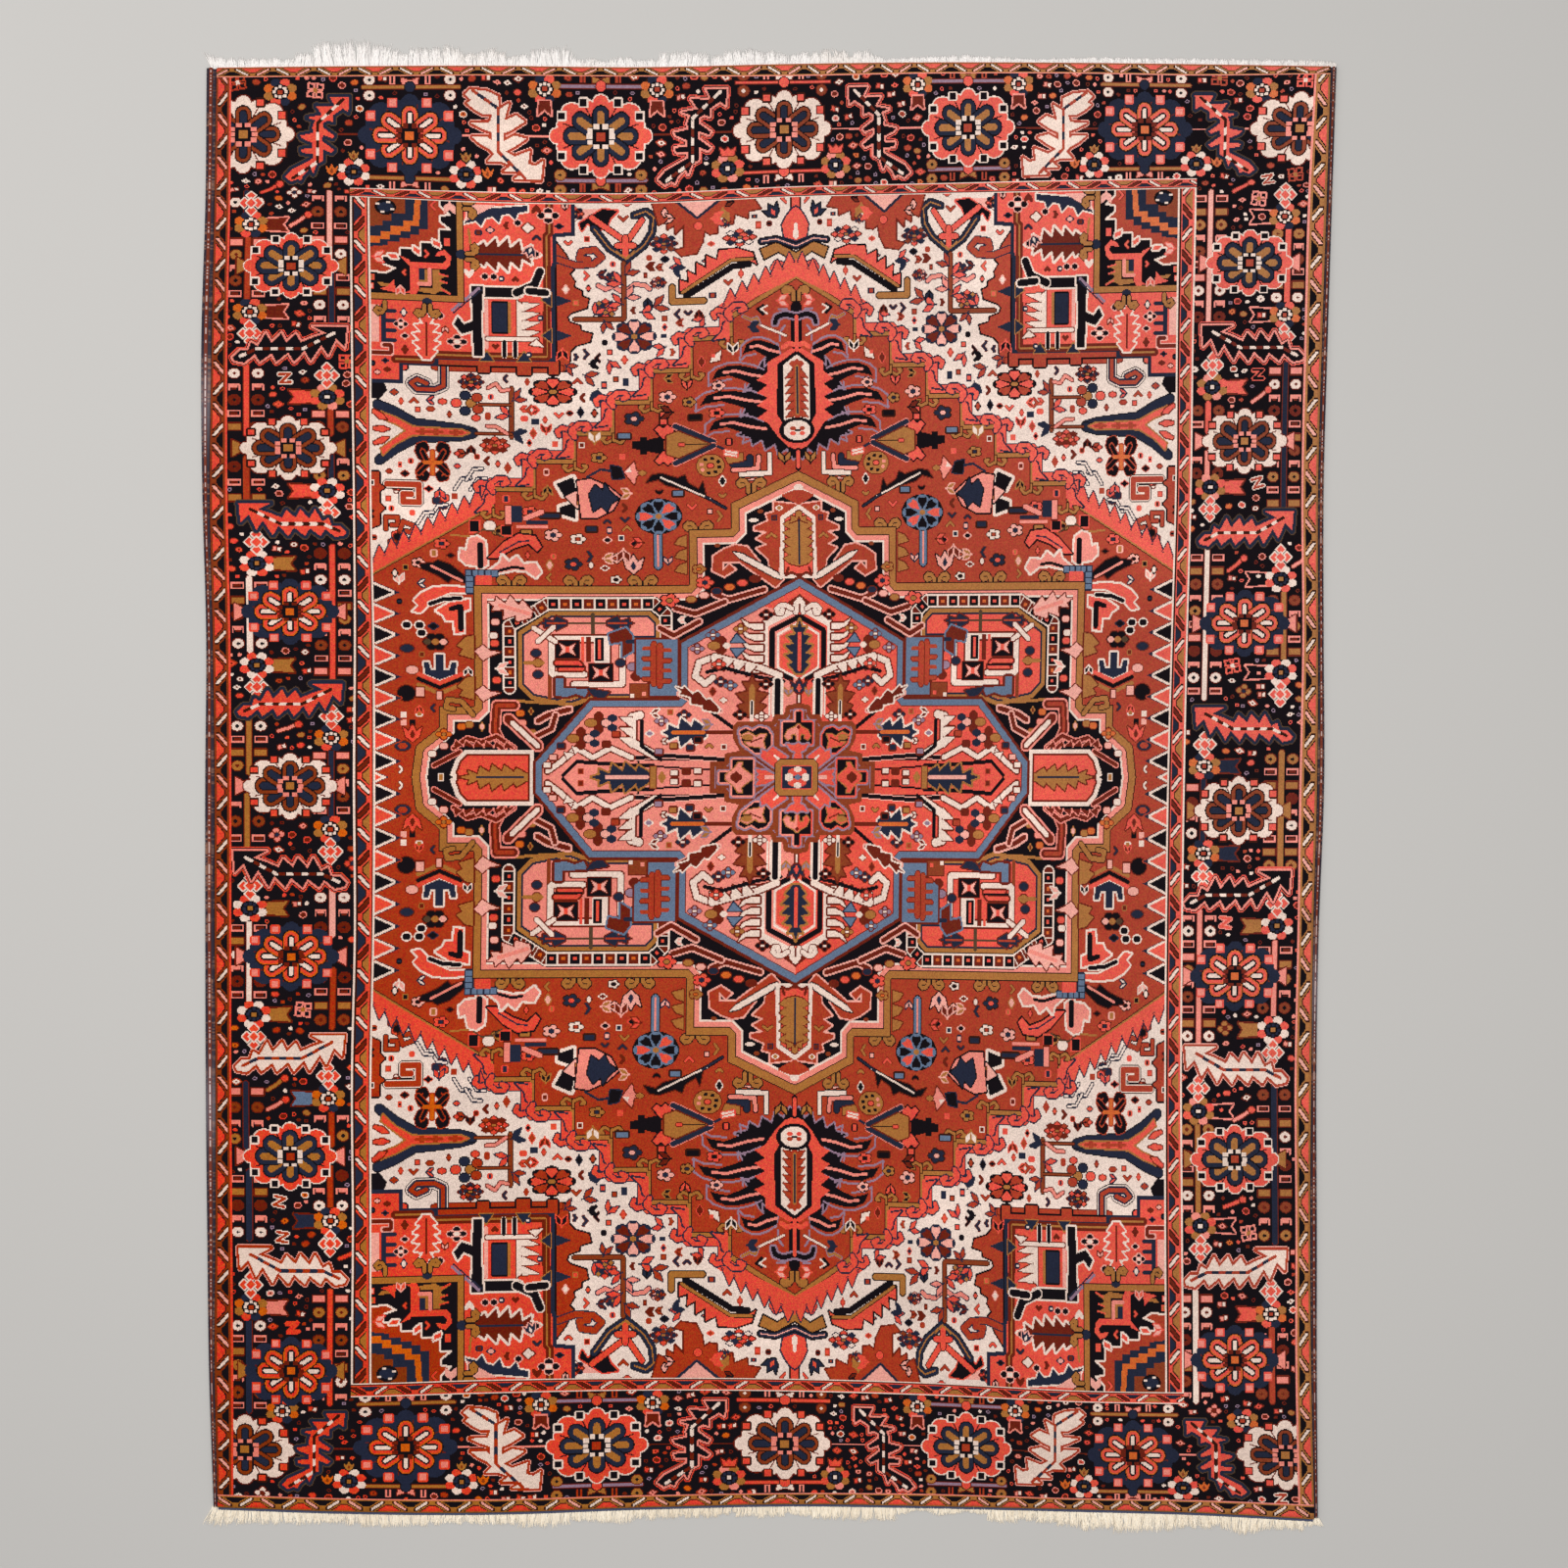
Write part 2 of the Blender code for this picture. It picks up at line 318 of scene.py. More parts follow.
def cluster(pen, rx, ry, colours, rim="n"):  # a flower of small lozenges
    for count, share, turn in ((8, 0.76, 0), (5, 0.36, 20)):
        for i, (x, y) in enumerate(ringOf(count, rx * share, ry * share, turn)):
            pen.fill(colours[i % len(colours)],
                     [(x - rx * 0.24, y), (x, y - ry * 0.24), (x + rx * 0.24, y), (x, y + ry * 0.24)],
                     rim if i % 2 else "m", 0.8)
    pen.box("g", 0, 0, rx * 0.26, ry * 0.26, rim, 0.6)


def leafPair(pen, size, colour, rim="n"):  # two short leaves on a stalk
    pen.line(rim, 1.4, np.array(pointsOf("0,0 5,0")) * size)
    for side in (-1, 1):
        pen.fill(colour, np.array([(2, 0), (5, -4 * side), (10, -4.5 * side), (7, -1 * side)]) * size, rim,
                 0.9)


def blade(pen, length, half, teeth, colour, rim, vein="", around=1.6, veinWidth=2.0):  # serrated leaf
    side = [(0, half * 0.3)]
    for i in range(teeth):
        h = half * (0.5 + 0.6 * math.sin(math.pi * (i + 0.8) / teeth))
        side += [(length * (i + 0.15) / teeth, h * 0.42), (length * (i + 0.95) / teeth, h)]
    side += [(length * 0.97, half * 0.2)]
    pen.fill(colour, side + [(length * 1.14, 0)] + [(x, -h) for x, h in side[::-1]], rim, around)
    if vein:
        pen.line(vein, veinWidth, [(length * 0.08, 0), (length * 0.84, 0)])


def horn(pen, size, colour, width, rim=""):  # one curl, from its root at the middle
    pen.line(colour, width, np.array(pointsOf("0,0 0,-7 3,-11 7,-12 10,-9 8,-6 5,-7")) * size, rim)


def horns(pen, size, colour, width, rim="", apart=0):
    horn(pen.at(apart, 0), size, colour, width, rim)
    horn(pen.at(-apart, 0, wide=-1), size, colour, width, rim)


def comb(pen, length, depth, teeth, colour, rim="", spine=3.0, tooth=2.2):
    pen.line(colour, spine, [(0, 0), (length, 0)], rim)
    for i in range(teeth):
        x = length * (i + 0.5) / teeth
        pen.line(colour, tooth, [(x, 0), (x, depth)], rim if i % 2 else "")
    pen.line(colour, spine, [(0, 0), (length, 0)])


def tulip(pen, size, cup, heart, rim="k"):
    pen.fill(cup, np.array(pointsOf("0,0 -5,-4 -7,-11 -3,-8 0,-13 3,-8 7,-11 5,-4")) * size, rim)
    pen.fill(heart, np.array(pointsOf("0,-2 -2,-5 0,-9 2,-5")) * size)


def squares(pen, count, step, size, colours, rim=""):
    for i in range(count):
        pen.box(colours[i % len(colours)], (i - (count - 1) / 2) * step, 0, size, size, rim)


# The big rosettes of the main border, by kind.
rosettes = dict(
    star=dict(lobe="n", edge="n", corner="s", cornerEdge="c", petal="k18 o15.5 c13 k7.5 w4",
              seed="m", heart="o"),
    red=dict(lobe="c", edge="w", corner="k", cornerEdge="w", petal="k18 n15.5 g7", seed="w", heart="r"),
    white=dict(lobe="w", edge="m", corner="c", cornerEdge="d", petal="k17.5 y15 k8.5 n6.5",
               seed="s", heart="g"))
lobePlaces = rowsOf("44,0,7.5,7 0,30,8,8 29,21,11,9 0,0,38,27 14,27,8,6 38,10,6,7")


def borderRosette(pen, kind):
    look = rosettes[kind]
    for more, colour in ((1.3, look["edge"]), (0, look["lobe"])):
        for x, y, rx, ry in lobePlaces:
            for side in (-1, 1):
                for up in (-1, 1):
                    pen.dot(colour, x * side, y * up, rx + more, ry + more)
    for x, y in ringOf(8, 41, 29, 11 if kind == "star" else 22.5):
        pen.line("k" if kind == "red" else "m", 1.2, [(x * 0.5, y * 0.5), (x, y)])
    for side in (-1, 1):
        for x, y in rowsOf("17.5,-31 39.5,-18.5 39.5,18.5 17.5,31"):
            pen.box(look["corner"], x * side, y, 7, 6.5, look["cornerEdge"], 1.3)
    for x, y in ringOf(8, 37, 25):
        pen.cord([(x * 0.45, y * 0.45), (x * 0.80, y * 0.80)], look["petal"])
    pen.box("k", 0, 0, 23, 16).box("k", 0, 0, 14, 23)
    for x, y in rowsOf("4.5,-9 11,-5 11.5,0.2 11,5.4 4.5,9.6"):
        pen.box(look["seed"], x, y, 5.6, 4.4).box(look["seed"], -x, y, 5.6, 4.4)
    pen.box(look["heart"], 0, 0.2, 9, 8)


# Leaves, in knots from their middle: an arrow at the top right end, a blunt end at the other.
endLeaf = ("-38,41 -31,46 -24,43 -20,45 -18,40 -9,31 -6,37 -2,26 5,23 5,10 15,14 18,11 4,1 5,-6 16,-2 "
           "18,-5 5,-14 5,-19 11,-22 17,-20 17,-28 28,-35 34,-31 35,-48 13,-48 19,-37 -3,-38 4,-28 "
           "-13,-25 -4,-22 -7,-14 -6,-8 -21,-5 -19,-2 -7,3 -7,9 -20,10 -19,14 -6,15 -6,20 -13,24 -21,28 "
           "-31,33")
sideLeaf = ("-60,13 -53,6 -44,6 -41,-3 -34,1 -26,-13 -20,-2 -10,-13 -5,-3 5,-12 10,-3 24,-9 36,-13 22,-20 "
            "57,-20 55,2 46,-7 38,11 31,0 20,17 14,6 3,18 -3,8 -15,18 -20,9 -32,18 -37,10 -48,19 -58,17")
whiteLeaf = ("-37,38 -31,43 -13,41 -1,36 0,23 11,29 8,20 6,12 19,17 28,11 13,2 5,-1 5,-9 17,-3 30,-6 "
             "19,-13 7,-19 17,-24 34,-18 32,-31 40,-33 48,-28 46,-47 17,-46 27,-40 19,-39 5,-39 13,-33 "
             "2,-29 -12,-29 -5,-22 -10,-17 -20,-12 -29,-5 -12,-5 -8,-8 -8,0 -17,3 -30,9 -10,10 -7,18 "
             "-17,18 -27,23 -35,29 -30,32")
leafWools = dict(coral=("e3.8 n2.8", "c", "dw", 0.88), white=("p2.9 r2.1", "w", "rn", 0.93),
                 navy=("c3.6 k2.5 s1.7", "k", "wm", 0.95))


leafVein = dict(step=8, width=3.2)


def borderLeaf(pen, shape, spine, kind):
    rims, colour, vein, size = leafWools[kind]
    pen = pen.at(0, 0, 0, size)
    for rim in rims.split():
        pen.fill(colour, shape, rim[0], float(rim[1:]))
    spots = pointsOf(spine)
    for (x0, y0), (x1, y1) in zip(spots, spots[1:]):
        count = max(round(math.hypot(x1 - x0, y1 - y0) / leafVein["step"]), 1)
        for i in range(count):
            part = [(x0 + (x1 - x0) * t, y0 + (y1 - y0) * t) for t in (i / count, (i + 1) / count)]
            pen.line(vein[i % 2], leafVein["width"], part, colour if kind == "navy" else "", 0.8)


def wheel(pen, kind):  # a small round flower of one of three kinds
    ring, inner, heart = dict(a=("wc", "n", "g"), b=("oncg", "w", "r"), c=("gsgc", "n", "w"))[kind]
    pen.dot("k" if kind == "a" else "d", 0, 0, 16, 13)
    for i, (x, y) in enumerate(ringOf(8, 12.5, 9.8, 22.5)):
        pen.dot(ring[i % len(ring)], x, y, 5, 4)
    pen.dot("k", 0, 0, 9.2, 7.6)
    for x, y in ringOf(8, 6, 5):
        pen.box(inner, x, y, 3.4, 3)
    pen.box(heart, 0, 0, 4.6, 3.8, "k")


def fishtail(pen, length, colour, rim):  # from the wheel outwards
    pen.fill(colour, [(13, -5.5), (13 + length, -7), (8 + length, 0), (13 + length, 7), (13, 5.5)], rim, 1.4)


def net(pen):  # a lozenge of small squares
    for x, y in rowsOf("0,-6.5 -5.5,0 5.5,0 0,6.5 0,0"):
        pen.at(x, y, 45).box("c", 0, 0, 5.6, 5.6, "w")


def coin(pen, colour, spot="k"):
    pen.dot(colour, 0, 0, 5.6, 4.8, "m", 0.9).box(spot, 0, 0, 4, 1.6).box(spot, 0, 0, 1.6, 3.4)


def frameBox(pen, colour, rim):
    pen.box(rim, 0, 0, 13, 6.8).box("k", 0, 0, 10, 3.8).box(colour, 0, 0, 7.15, 2.72)


def attendants(pen, kind):  # the lines, coins and wheels above and below an end rosette
    line, crown, bulb, coins, bars, wheelKind, face = dict(
        star=("g", "s", "n", "w", "s", "a", 1), red=("l", "g", "c", "g", "r", "b", -1),
        white=("c", "w", "c", "y", "s", "c", 1))[kind]
    pen.line(line, 2.6, "-48,-46 50,-46", "m").line(line, 2.6, "-44,41 46,41", "m")
    for y, way in ((-47, -1), (42, 1)):
        pen.fill(crown, [(-9, y + 8 * way), (-8, y + 2 * way), (8, y + 2 * way), (9, y + 8 * way),
                         (0, y + 5 * way)], "m", 0.8)
        pen.dot(bulb, 0, y - way, 5, 5, "k")
        for x in (-18, 18):
            pen.box(bars, x, y + 6 * way, 6, 8).box("k", x, y + 6 * way, 1.6, 7)
    for x in (-41, 41):
        for y in (-53, -38) if face > 0 else (36, 50):
            coin(pen.at(x, y), coins, "k" if kind != "white" else "w")
    for side in (-1, 1):
        place = pen.at(side * 57, 36 if face > 0 else -43)
        wheel(place, wheelKind)
        if kind == "star":
            tulip(place.at(0, -11), 0.8, "g", "y")
            tulip(pen.at(side * 79, 40), 0.9, "o", "y")
        elif kind == "white":
            place.fill("c", "-6,-12 -8,-20 -3,-17 0,-20 3,-17 8,-20 6,-12", "m")
        else:
            fishtail(place.at(0, -2, 90), 13, "m", "s")


bars = dict(width=5.4, spacing=12.5, beside=11.5)


def column(pen, x, y0, y1, colour, first):  # a bar down the side border with pairs of figures beside it
    u, v0 = chartOf(x, y0)
    v1 = chartOf(x, y1)[1]
    pen.line(colour, bars["width"], [(u, v0), (u, v1)], "m", 0.8)
    count = int((v1 - v0) // bars["spacing"])
    for i in range(count):
        y = v0 + (i + 0.5) * (v1 - v0) / count
        for side in (-1, 1):
            place = pen.at(u + side * bars["beside"], y)
            figure = (i + first) % 5
            if figure in (0, 3):
                coin(place, "wymg"[(i + first) % 4], "km"[figure // 3])
            elif figure == 1:
                frameBox(place, "m", "s")
            elif figure == 2:
                place.box("g" if i % 3 else "s", 0, 0, 12, 6, "m")
            else:
                frameBox(place, "s", "k")
                place.line("s", 1.8, "-5,3 -5,-2 5,-2 5,3").line("m", 1.2, "-2,2 2,2")


def zed(pen, colour, rim):
    pen.cord("-5.5,-4 5,-4 -5,4.5 5.5,4.5", rim + "4.6 " + colour + "2.4")


def loopCross(pen, colour, rim):
    for x, y in ringOf(4, 6, 5.4, 45):
        pen.box(colour, x, y, 8, 7).box("k", x, y, 4, 3.4)
    pen.box(rim, 0, 0, 4, 4)


# How many tries each size of filler has, and the bare room that it wants across and down.
sprinkled = dict(big=(1500, (9, 8)), small=(9000, (6, 5)), tiny=(9000, (4, 3)), askew=14)


def sprinkle(pen, chart, dice, box, tries, room, figures):  # fillers wherever the dark ground is still bare
    ground = letters.index("k")
    u0, v0, u1, v1 = box
    for u, v in dice.uniform((u0, v0), (u1, v1), (tries, 2)):
        x, y = int(u), int(v)
        around = chart[max(y - room[1], 0):y + room[1] + 1, max(x - room[0], 0):x + room[0] + 1]
        if (around == ground).all():
            figure = figures[dice.integers(len(figures))]
            figure(pen.at(u, v, float(dice.uniform(-sprinkled["askew"], sprinkled["askew"]))), dice)


def pick(dice, colours):
    return colours[dice.integers(len(colours))]


bigFigures = (
    lambda pen, dice: zed(pen, pick(dice, "ckr"), pick(dice, "wsc")),
    lambda pen, dice: loopCross(pen, pick(dice, "csr"), pick(dice, "wg")),
    lambda pen, dice: blossom(pen, 7.5, pick(dice, "cwgs"), pick(dice, "nm"), "m", 4, 0.9),
    lambda pen, dice: zed(pen, "r", "w"),
    lambda pen, dice: pen.cord(
        "-9,5 0,0 8,-6", "m5 " + pick(dice, "scg") + "3.2").dot("c", 9, -6, 3.4, 3, "m"))
smallFigures = (
    lambda pen, dice: pen.dot(pick(dice, "csrwo"), 0, 0, 3.2, 2.2, pick(dice, "mwd")).dot("m", 0, 0, 1),
    lambda pen, dice: pen.dot(pick(dice, "crgo"), 0, 0, 3.6, 2.4, "m", 0.8),
    lambda pen, dice: pen.fill(pick(dice, "wsc"), "-4.5,0 0,-2.6 4.5,0 0,2.6",
                               pick(dice, "mrk"), 0.9).dot("m", 0, 0, 1),
    lambda pen, dice: pen.box(pick(dice, "cs"), -2.2, 0, 3.4, 4, "m", 0.8).box("w", 2.2, 0, 3, 3.6, "m", 0.8),
    lambda pen, dice: pen.dot("m", 0, 0, 3, 2.2, pick(dice, "cs"), 1.1))
tinyFigures = (
    lambda pen, dice: pen.dot(pick(dice, "crsmw"), 0, 0, 2.2, 1.7),
    lambda pen, dice: pen.dot("k", 0, 0, 1.2, 0.9, pick(dice, "mcl")))


# The guard stripes: a zigzag ribbon between rows of triangles, with one repeat for each side.
guards = dict(
    shape=dict(swing=0.42, blunt=1.25, edge=0.38, ribbon=0.3, dashRim=(0.19, 8.0), dash=(0.1, 6.0),
               thinFrom=14),
    outer=dict(
        repeat=47, start=0.6, ribbon="g", edge="k", inward="k", outward="c", dashes="wp",
        lines=("gg", "ggss"),
        left=dict(repeat=42.1, start=0.96, ribbon="y", lines=("yy", "yycc"), dashes="pw"),
        right=dict(repeat=48.1, start=0.95), top=dict(repeat=41.5), bottom=dict(repeat=44.5)),
    inner=dict(
        repeat=46, start=0.6, ribbon="c", edge="d", inward="n", outward="g", dashes="wm",
        lines=("wwcc", "cddww"), left=dict(start=0.9, inward="g", outward="n", lines=("wwdd", "ccdww")),
        right=dict(start=0.99), top={}, bottom={}))


def guardStrip(length, depth, look):  # rows run from the outer edge inwards
    size = guards["shape"]
    along, across = np.meshgrid(np.arange(length) + 0.5, (np.arange(depth) + 0.5) / depth)
    phase = (along / look["repeat"] + look["start"]) % 1
    swing = 1 - 4 * np.abs(phase - 0.5)  # 1 where an outward triangle stands, -1 at an inward one
    off = across - 0.5 - size["swing"] * np.clip(swing * size["blunt"], -1, 1)
    ink = np.where(off > 0, letters.index(look["inward"]), letters.index(look["outward"]))
    for part in ("edge", "ribbon"):
        ink[np.abs(off) <= size[part]] = letters.index(look[part])
    for middle, dash in ((0.25, look["dashes"][0]), (0.75, look["dashes"][1])):
        near = np.abs(phase - middle) * look["repeat"]
        for (half, reach), colour in ((size["dashRim"], "d"), (size["dash"], dash)):
            ink[(np.abs(off) < half) & (near < reach)] = letters.index(colour)
    outerLine, innerLine = (line[::2] if depth < size["thinFrom"] else line for line in look["lines"])
    for i, colour in enumerate(outerLine):
        ink[i] = letters.index(colour)
    for i, colour in enumerate(innerLine):
        ink[depth - len(innerLine) + i] = letters.index(colour)
    return ink


def tieGuards(chart):
    for look, ring, depthSide, depthEnd in ((guards["outer"], 0, knots["guard"], knots["guardEnd"]),
                                            (guards["inner"], 2, knots["inner"], knots["innerEnd"])):
        u0, u1, v0, v1 = columnsAt[ring], columnsAt[8 - ring], rowsAt[ring], rowsAt[8 - ring]
        chart[v0:v1, u0:u0 + depthSide] = guardStrip(v1 - v0, depthSide, look | look["left"]).T
        chart[v0:v1, u1 - depthSide:u1] = guardStrip(v1 - v0, depthSide, look | look["right"]).T[:, ::-1]
        chart[v0:v0 + depthEnd, u0:u1] = guardStrip(u1 - u0, depthEnd, look | look["top"])
        chart[v1 - depthEnd:v1, u0:u1] = guardStrip(u1 - u0, depthEnd, look | look["bottom"])[::-1]


# Where the main border's motifs lie, in photo pixels. Leaves end with the ways they face.
endBorders = dict(
    top=dict(
        rosettes=rowsOf("248,137,white 418,138,star 613,139,red 800,132,white 988,130,red 1168,132,star "
                        "1326,131,white"),
        leaves=rowsOf("325,143,coral,1,1 509,135,white,1,-1 708,140,navy,1,1 896,136,navy,-1,1 "
                      "1084,134,white,-1,-1 1249,138,coral,-1,1"),
        wheels=rowsOf("286,94 1288,92")),
    bottom=dict(
        rosettes=rowsOf("250,1479,white 414,1477,star 609,1475,red 801,1473,white 986,1477,red "
                        "1156,1485,star 1312,1485,white"),
        leaves=rowsOf("321,1482,coral,1,1 507,1476,white,1,-1 707,1474,navy,1,1 901,1480,navy,-1,1 "
                      "1076,1475,white,-1,-1 1240,1489,coral,-1,1"),
        wheels=rowsOf("288,1440 1268,1450")))
sideBorders = dict(
    left=dict(
        rosettes=rowsOf("297,271,red 294,457,white 296,624,star 296,802,white 297,976,star 296,1180,red "
                        "297,1399,star"),
        leaves=rowsOf("297,352,navy,1 297,531,coral,-1 297,715,coral,1 294,888,navy,-1 297,1076,white,1 "
                      "297,1293,white,-1"),
        wheels=rowsOf("256,229,b,1,m 255,318,b,1,m 334,405,c,-1,c 334,501,a,-1,c 262,575,a,1,g "
                      "262,679,a,1,g 338,753,b,0,k 337,846,b,0,k 255,927,a,1,g 259,1035,a,1,g "
                      "335,1121,b,-1,b 337,1246,b,-1,n 256,1334,b,1,s"),
        columns=rowsOf("252,196,218,n 253,240,306,r 336,196,266,p 338,276,332,n 251,374,442,c "
                       "251,468,516,r 337,416,442,r 338,464,492,n 254,590,664,w 339,558,692,c "
                       "254,734,788,g 338,764,834,n 252,812,864,g 254,940,1022,w 339,908,954,p "
                       "340,990,1048,r 251,1106,1170,n 338,1132,1168,r 254,1196,1264,n 337,1192,1238,r "
                       "254,1346,1440,n 337,1318,1432,c")),
    right=dict(
        rosettes=rowsOf("1275,268,red 1270,450,white 1270,636,star 1264,827,white 1260,996,star "
                        "1260,1183,red 1260,1388,star"),
        leaves=rowsOf("1277,351,navy,-1 1273,540,coral,1 1268,740,coral,-1 1264,909,navy,1 "
                      "1260,1088,white,-1 1262,1295,white,1"),
        wheels=rowsOf("1311,221,b,-1,k 1311,321,b,-1,k 1237,395,c,1,c 1235,497,c,1,c 1307,591,a,-1,k "
                      "1307,686,a,-1,k 1229,782,b,1,n 1228,871,b,1,n 1303,945,a,-1,g 1299,1051,a,-1,g "
                      "1223,1134,c,1,k 1225,1251,c,1,k 1297,1341,b,-1,c"),
        columns=rowsOf("1236,196,330,p 1315,232,310,c 1233,412,440,c 1312,372,520,n 1232,462,490,s "
                       "1232,562,712,w 1310,606,672,g 1308,768,890,g 1228,796,858,n 1224,930,1064,s "
                       "1301,962,1036,s 1222,1146,1240,g 1300,1110,1268,n 1220,1318,1430,w "
                       "1298,1356,1430,r")))


def tieLeaves(pen):
    for end in endBorders.values():
        for x, y, kind, faceX, faceY in end["leaves"]:
            shape = whiteLeaf if kind == "white" else endLeaf
            borderLeaf(pen.at(*chartOf(x, y), wide=faceX, high=faceY), shape, "-29,42 -1,24 -1,-19 28,-45",
                       kind)
    for side in sideBorders.values():
        for x, y, kind, faceX in side["leaves"]:
            borderLeaf(pen.at(*chartOf(x, y), wide=faceX), sideLeaf, "-52,12 -35,4 12,4 44,-13", kind)


def tieBorders(chart, dice):
    pen = Pen(chart)
    for end in endBorders.values():
        # the stem that strings the end's motifs together
        spots = [chartOf(x, y) for x, y, _ in end["rosettes"]]
        for i, (start, stop) in enumerate(zip(spots, spots[1:])):
            pen.line("ms"[i % 2], 1.8, [start, stop])
        for x, y, kind in end["rosettes"][1:-1]:
            attendants(pen.at(*chartOf(x, y)), kind)
        for x, y in end["wheels"]:
            wheel(pen.at(*chartOf(x, y)), "b")
        for x, y, kind in end["rosettes"]:
            borderRosette(pen.at(*chartOf(x, y)), kind)
    for number, side in enumerate(sideBorders.values()):
        for i, (x, y0, y1, colour) in enumerate(side["columns"]):
            column(pen, x, y0, y1, colour, i * 2 + number)
        for x, y, kind, way, colour in side["wheels"]:
            place = pen.at(*chartOf(x, y))
            if way:
                fishtail(place.at(0, 0, wide=way), 24, colour, "s" if colour in "mk" else "m")
            wheel(place, kind)
            away = 1 if y > min((abs(y - at), at) for _, at, _ in side["rosettes"])[1] else -1
            net(place.at(0, 22 * away, wide=1.2))
        for x, y, kind in side["rosettes"]:
            place = pen.at(*chartOf(x, y), wide=0.9, high=0.86)
            for edge in (-1, 1):
                place.fill("sg"[int(y) % 2],
                           [(46 * edge, -2), (60 * edge, -10), (60 * edge, 10), (46 * edge, 2)], "m")
            borderRosette(place, kind)
    tieLeaves(pen)
    reach = ((columnsAt[1], rowsAt[1], columnsAt[2], rowsAt[7]),
             (columnsAt[6], rowsAt[1], columnsAt[7], rowsAt[7]),
             (columnsAt[2], rowsAt[1], columnsAt[6], rowsAt[2]),
             (columnsAt[2], rowsAt[6], columnsAt[6], rowsAt[7]))
    for i, box in enumerate(reach):
        for size, figures in (("big", bigFigures if i < 2 else smallFigures), ("small", smallFigures),
                              ("tiny", tinyFigures)):
            sprinkle(pen, chart, dice, box, *sprinkled[size], figures)
    tieLeaves(pen)  # again, over the fillers that fell inside the dark ones


# The field is charted for one quarter, in knots from the field's corner towards the rug's middle.
lines = dict(
    spandrel="-2,-2 432,-2 432,84 368,122 368,144 327,144 327,176 286,176 286,208 247,208 247,240 208,240 "
             "208,269 167,269 167,298 125,298 125,313 -2,387",
    coralPart="-2,-2 208,-2 208,33 189,34 189,62 187,68 187,163 68,163 68,170 32,170 32,189 -2,189",
    cornerPart="-2,-2 95,-2 95,104 -2,104",
    cornerStep="-2,-2 72,-2 72,5 82,13 82,15 72,16 72,21 82,28 82,30 71,30 71,44 61,44 52,44 52,51 41,51 "
               "31,51 31,58 13,60 13,66 27,71 16,77 -2,76",
    medallion="432,279 363,311 363,337 320,337 320,394 101,394 101,519 65,519 65,541 41,560 36,594 434,594",
    panel="146,498 146,442 178,421 280,421 290,430 290,452 262,452 309,512 222,512 200,520 160,512",
    inner="434,385 309,452 309,510 218,510 161,576 161,594 434,594",
    whole="0,0 432,0 432,592 0,592",
    heart="434,516 419,519 417,528 407,528 405,535 370,535 365,539 365,552 372,565 357,568 357,576 342,576 "
          "342,594 434,594")
# The small fillers of each part: its ground's wool and the fillers' wools, how many, and their sizes.
fillers = (("spandrel", "irrncckm", 220, (1.8, 3.2)), ("coralPart", "cknpwm", 30, (1.6, 3.2)),
           ("cornerPart", "kcgp", 8, (1.6, 3.2)), ("whole", "rnpkgcmw", 70, (2.0, 3.6)),
           ("medallion", "kcpwgm", 40, (1.6, 3.2)), ("inner", "smnrgwl", 40, (1.6, 3.2)))


def tieCorner(pen):
    for colour, steps in (("n", "59,-2 59,30 50,30 50,36 41,36 41,40 30,40 30,44 18,44 18,48 -2,50 -2,-2"),
                          ("o", "52,-2 50,27 41,27 41,33 31,33 31,37 20,37 20,42 10,42 10,46 -2,46 -2,-2"),
                          ("n", "46,-2 44,22 34,22 34,28 21,28 21,34 11,34 11,39 -2,39 -2,-2"),
                          ("y", "36,-2 36,15 22,15 22,23 13,23 13,28 -2,29 -2,-2")):
        pen.fill(colour, steps)
    pen.line("g", 0.8, "59,0 59,30 50,30 50,36").line("g", 0.8, "36,0 36,15 22,15 22,23 13,23")
    pen.dot("k", 16, 9, 11, 8).dot("n", 16, 9, 8, 5)
    for x, y in rowsOf("8,6 19,4 23,11 13,14"):
        pen.dot("w", x, y, 2.4, 1.4)
    for x, y, turn in rowsOf("67,44,25 47,52,35 23,59,0"):
        pen.at(x, y, turn).fill("c", "-5,-2 3,-2 5,2 -2,2", "w", 1.6)
    # a beast with a crest
    pen.fill("c", "30,58 40,62 40,64 74,64 77,60 76,56 66,57 69,52 76,50 82,56 81,66 76,70 50,70 49,92 "
             "46,97 34,96 40,93 40,68")
    pen.box("n", 52, 76, 6, 12).fill("g", "55,71 58,71 58,84 49,84 49,82 55,82")
    pen.cord("60,71 60,86 49,86", "s3.4")
    pen.fill("g", "63,71 70,71 70,75 78,77 71,80 71,82 77,84 71,86 71,88 81,94 70,93 65,96 49,94 50,90 63,90")
    pen.line("c", 1.6, "70,75 78,77").line("c", 1.6, "71,82 77,84").line("c", 2, "72,91 80,95")
    pen.fill("g", "7,86 20,87 20,91 10,90").fill("c", "9,93 18,89 24,82 25,96")
    pen.dot("n", 92, 54, 5, 5).dot("n", 57, 104, 5, 4)
    for x, y, turn in rowsOf("96,4,90 57,108,180 98,56,90"):
        horns(pen.at(x, y, turn, 0.9), 1, "g", 3.8, "k", 3)
    horn(pen.at(14, 106, 180), 1, "g", 3.6, "k")


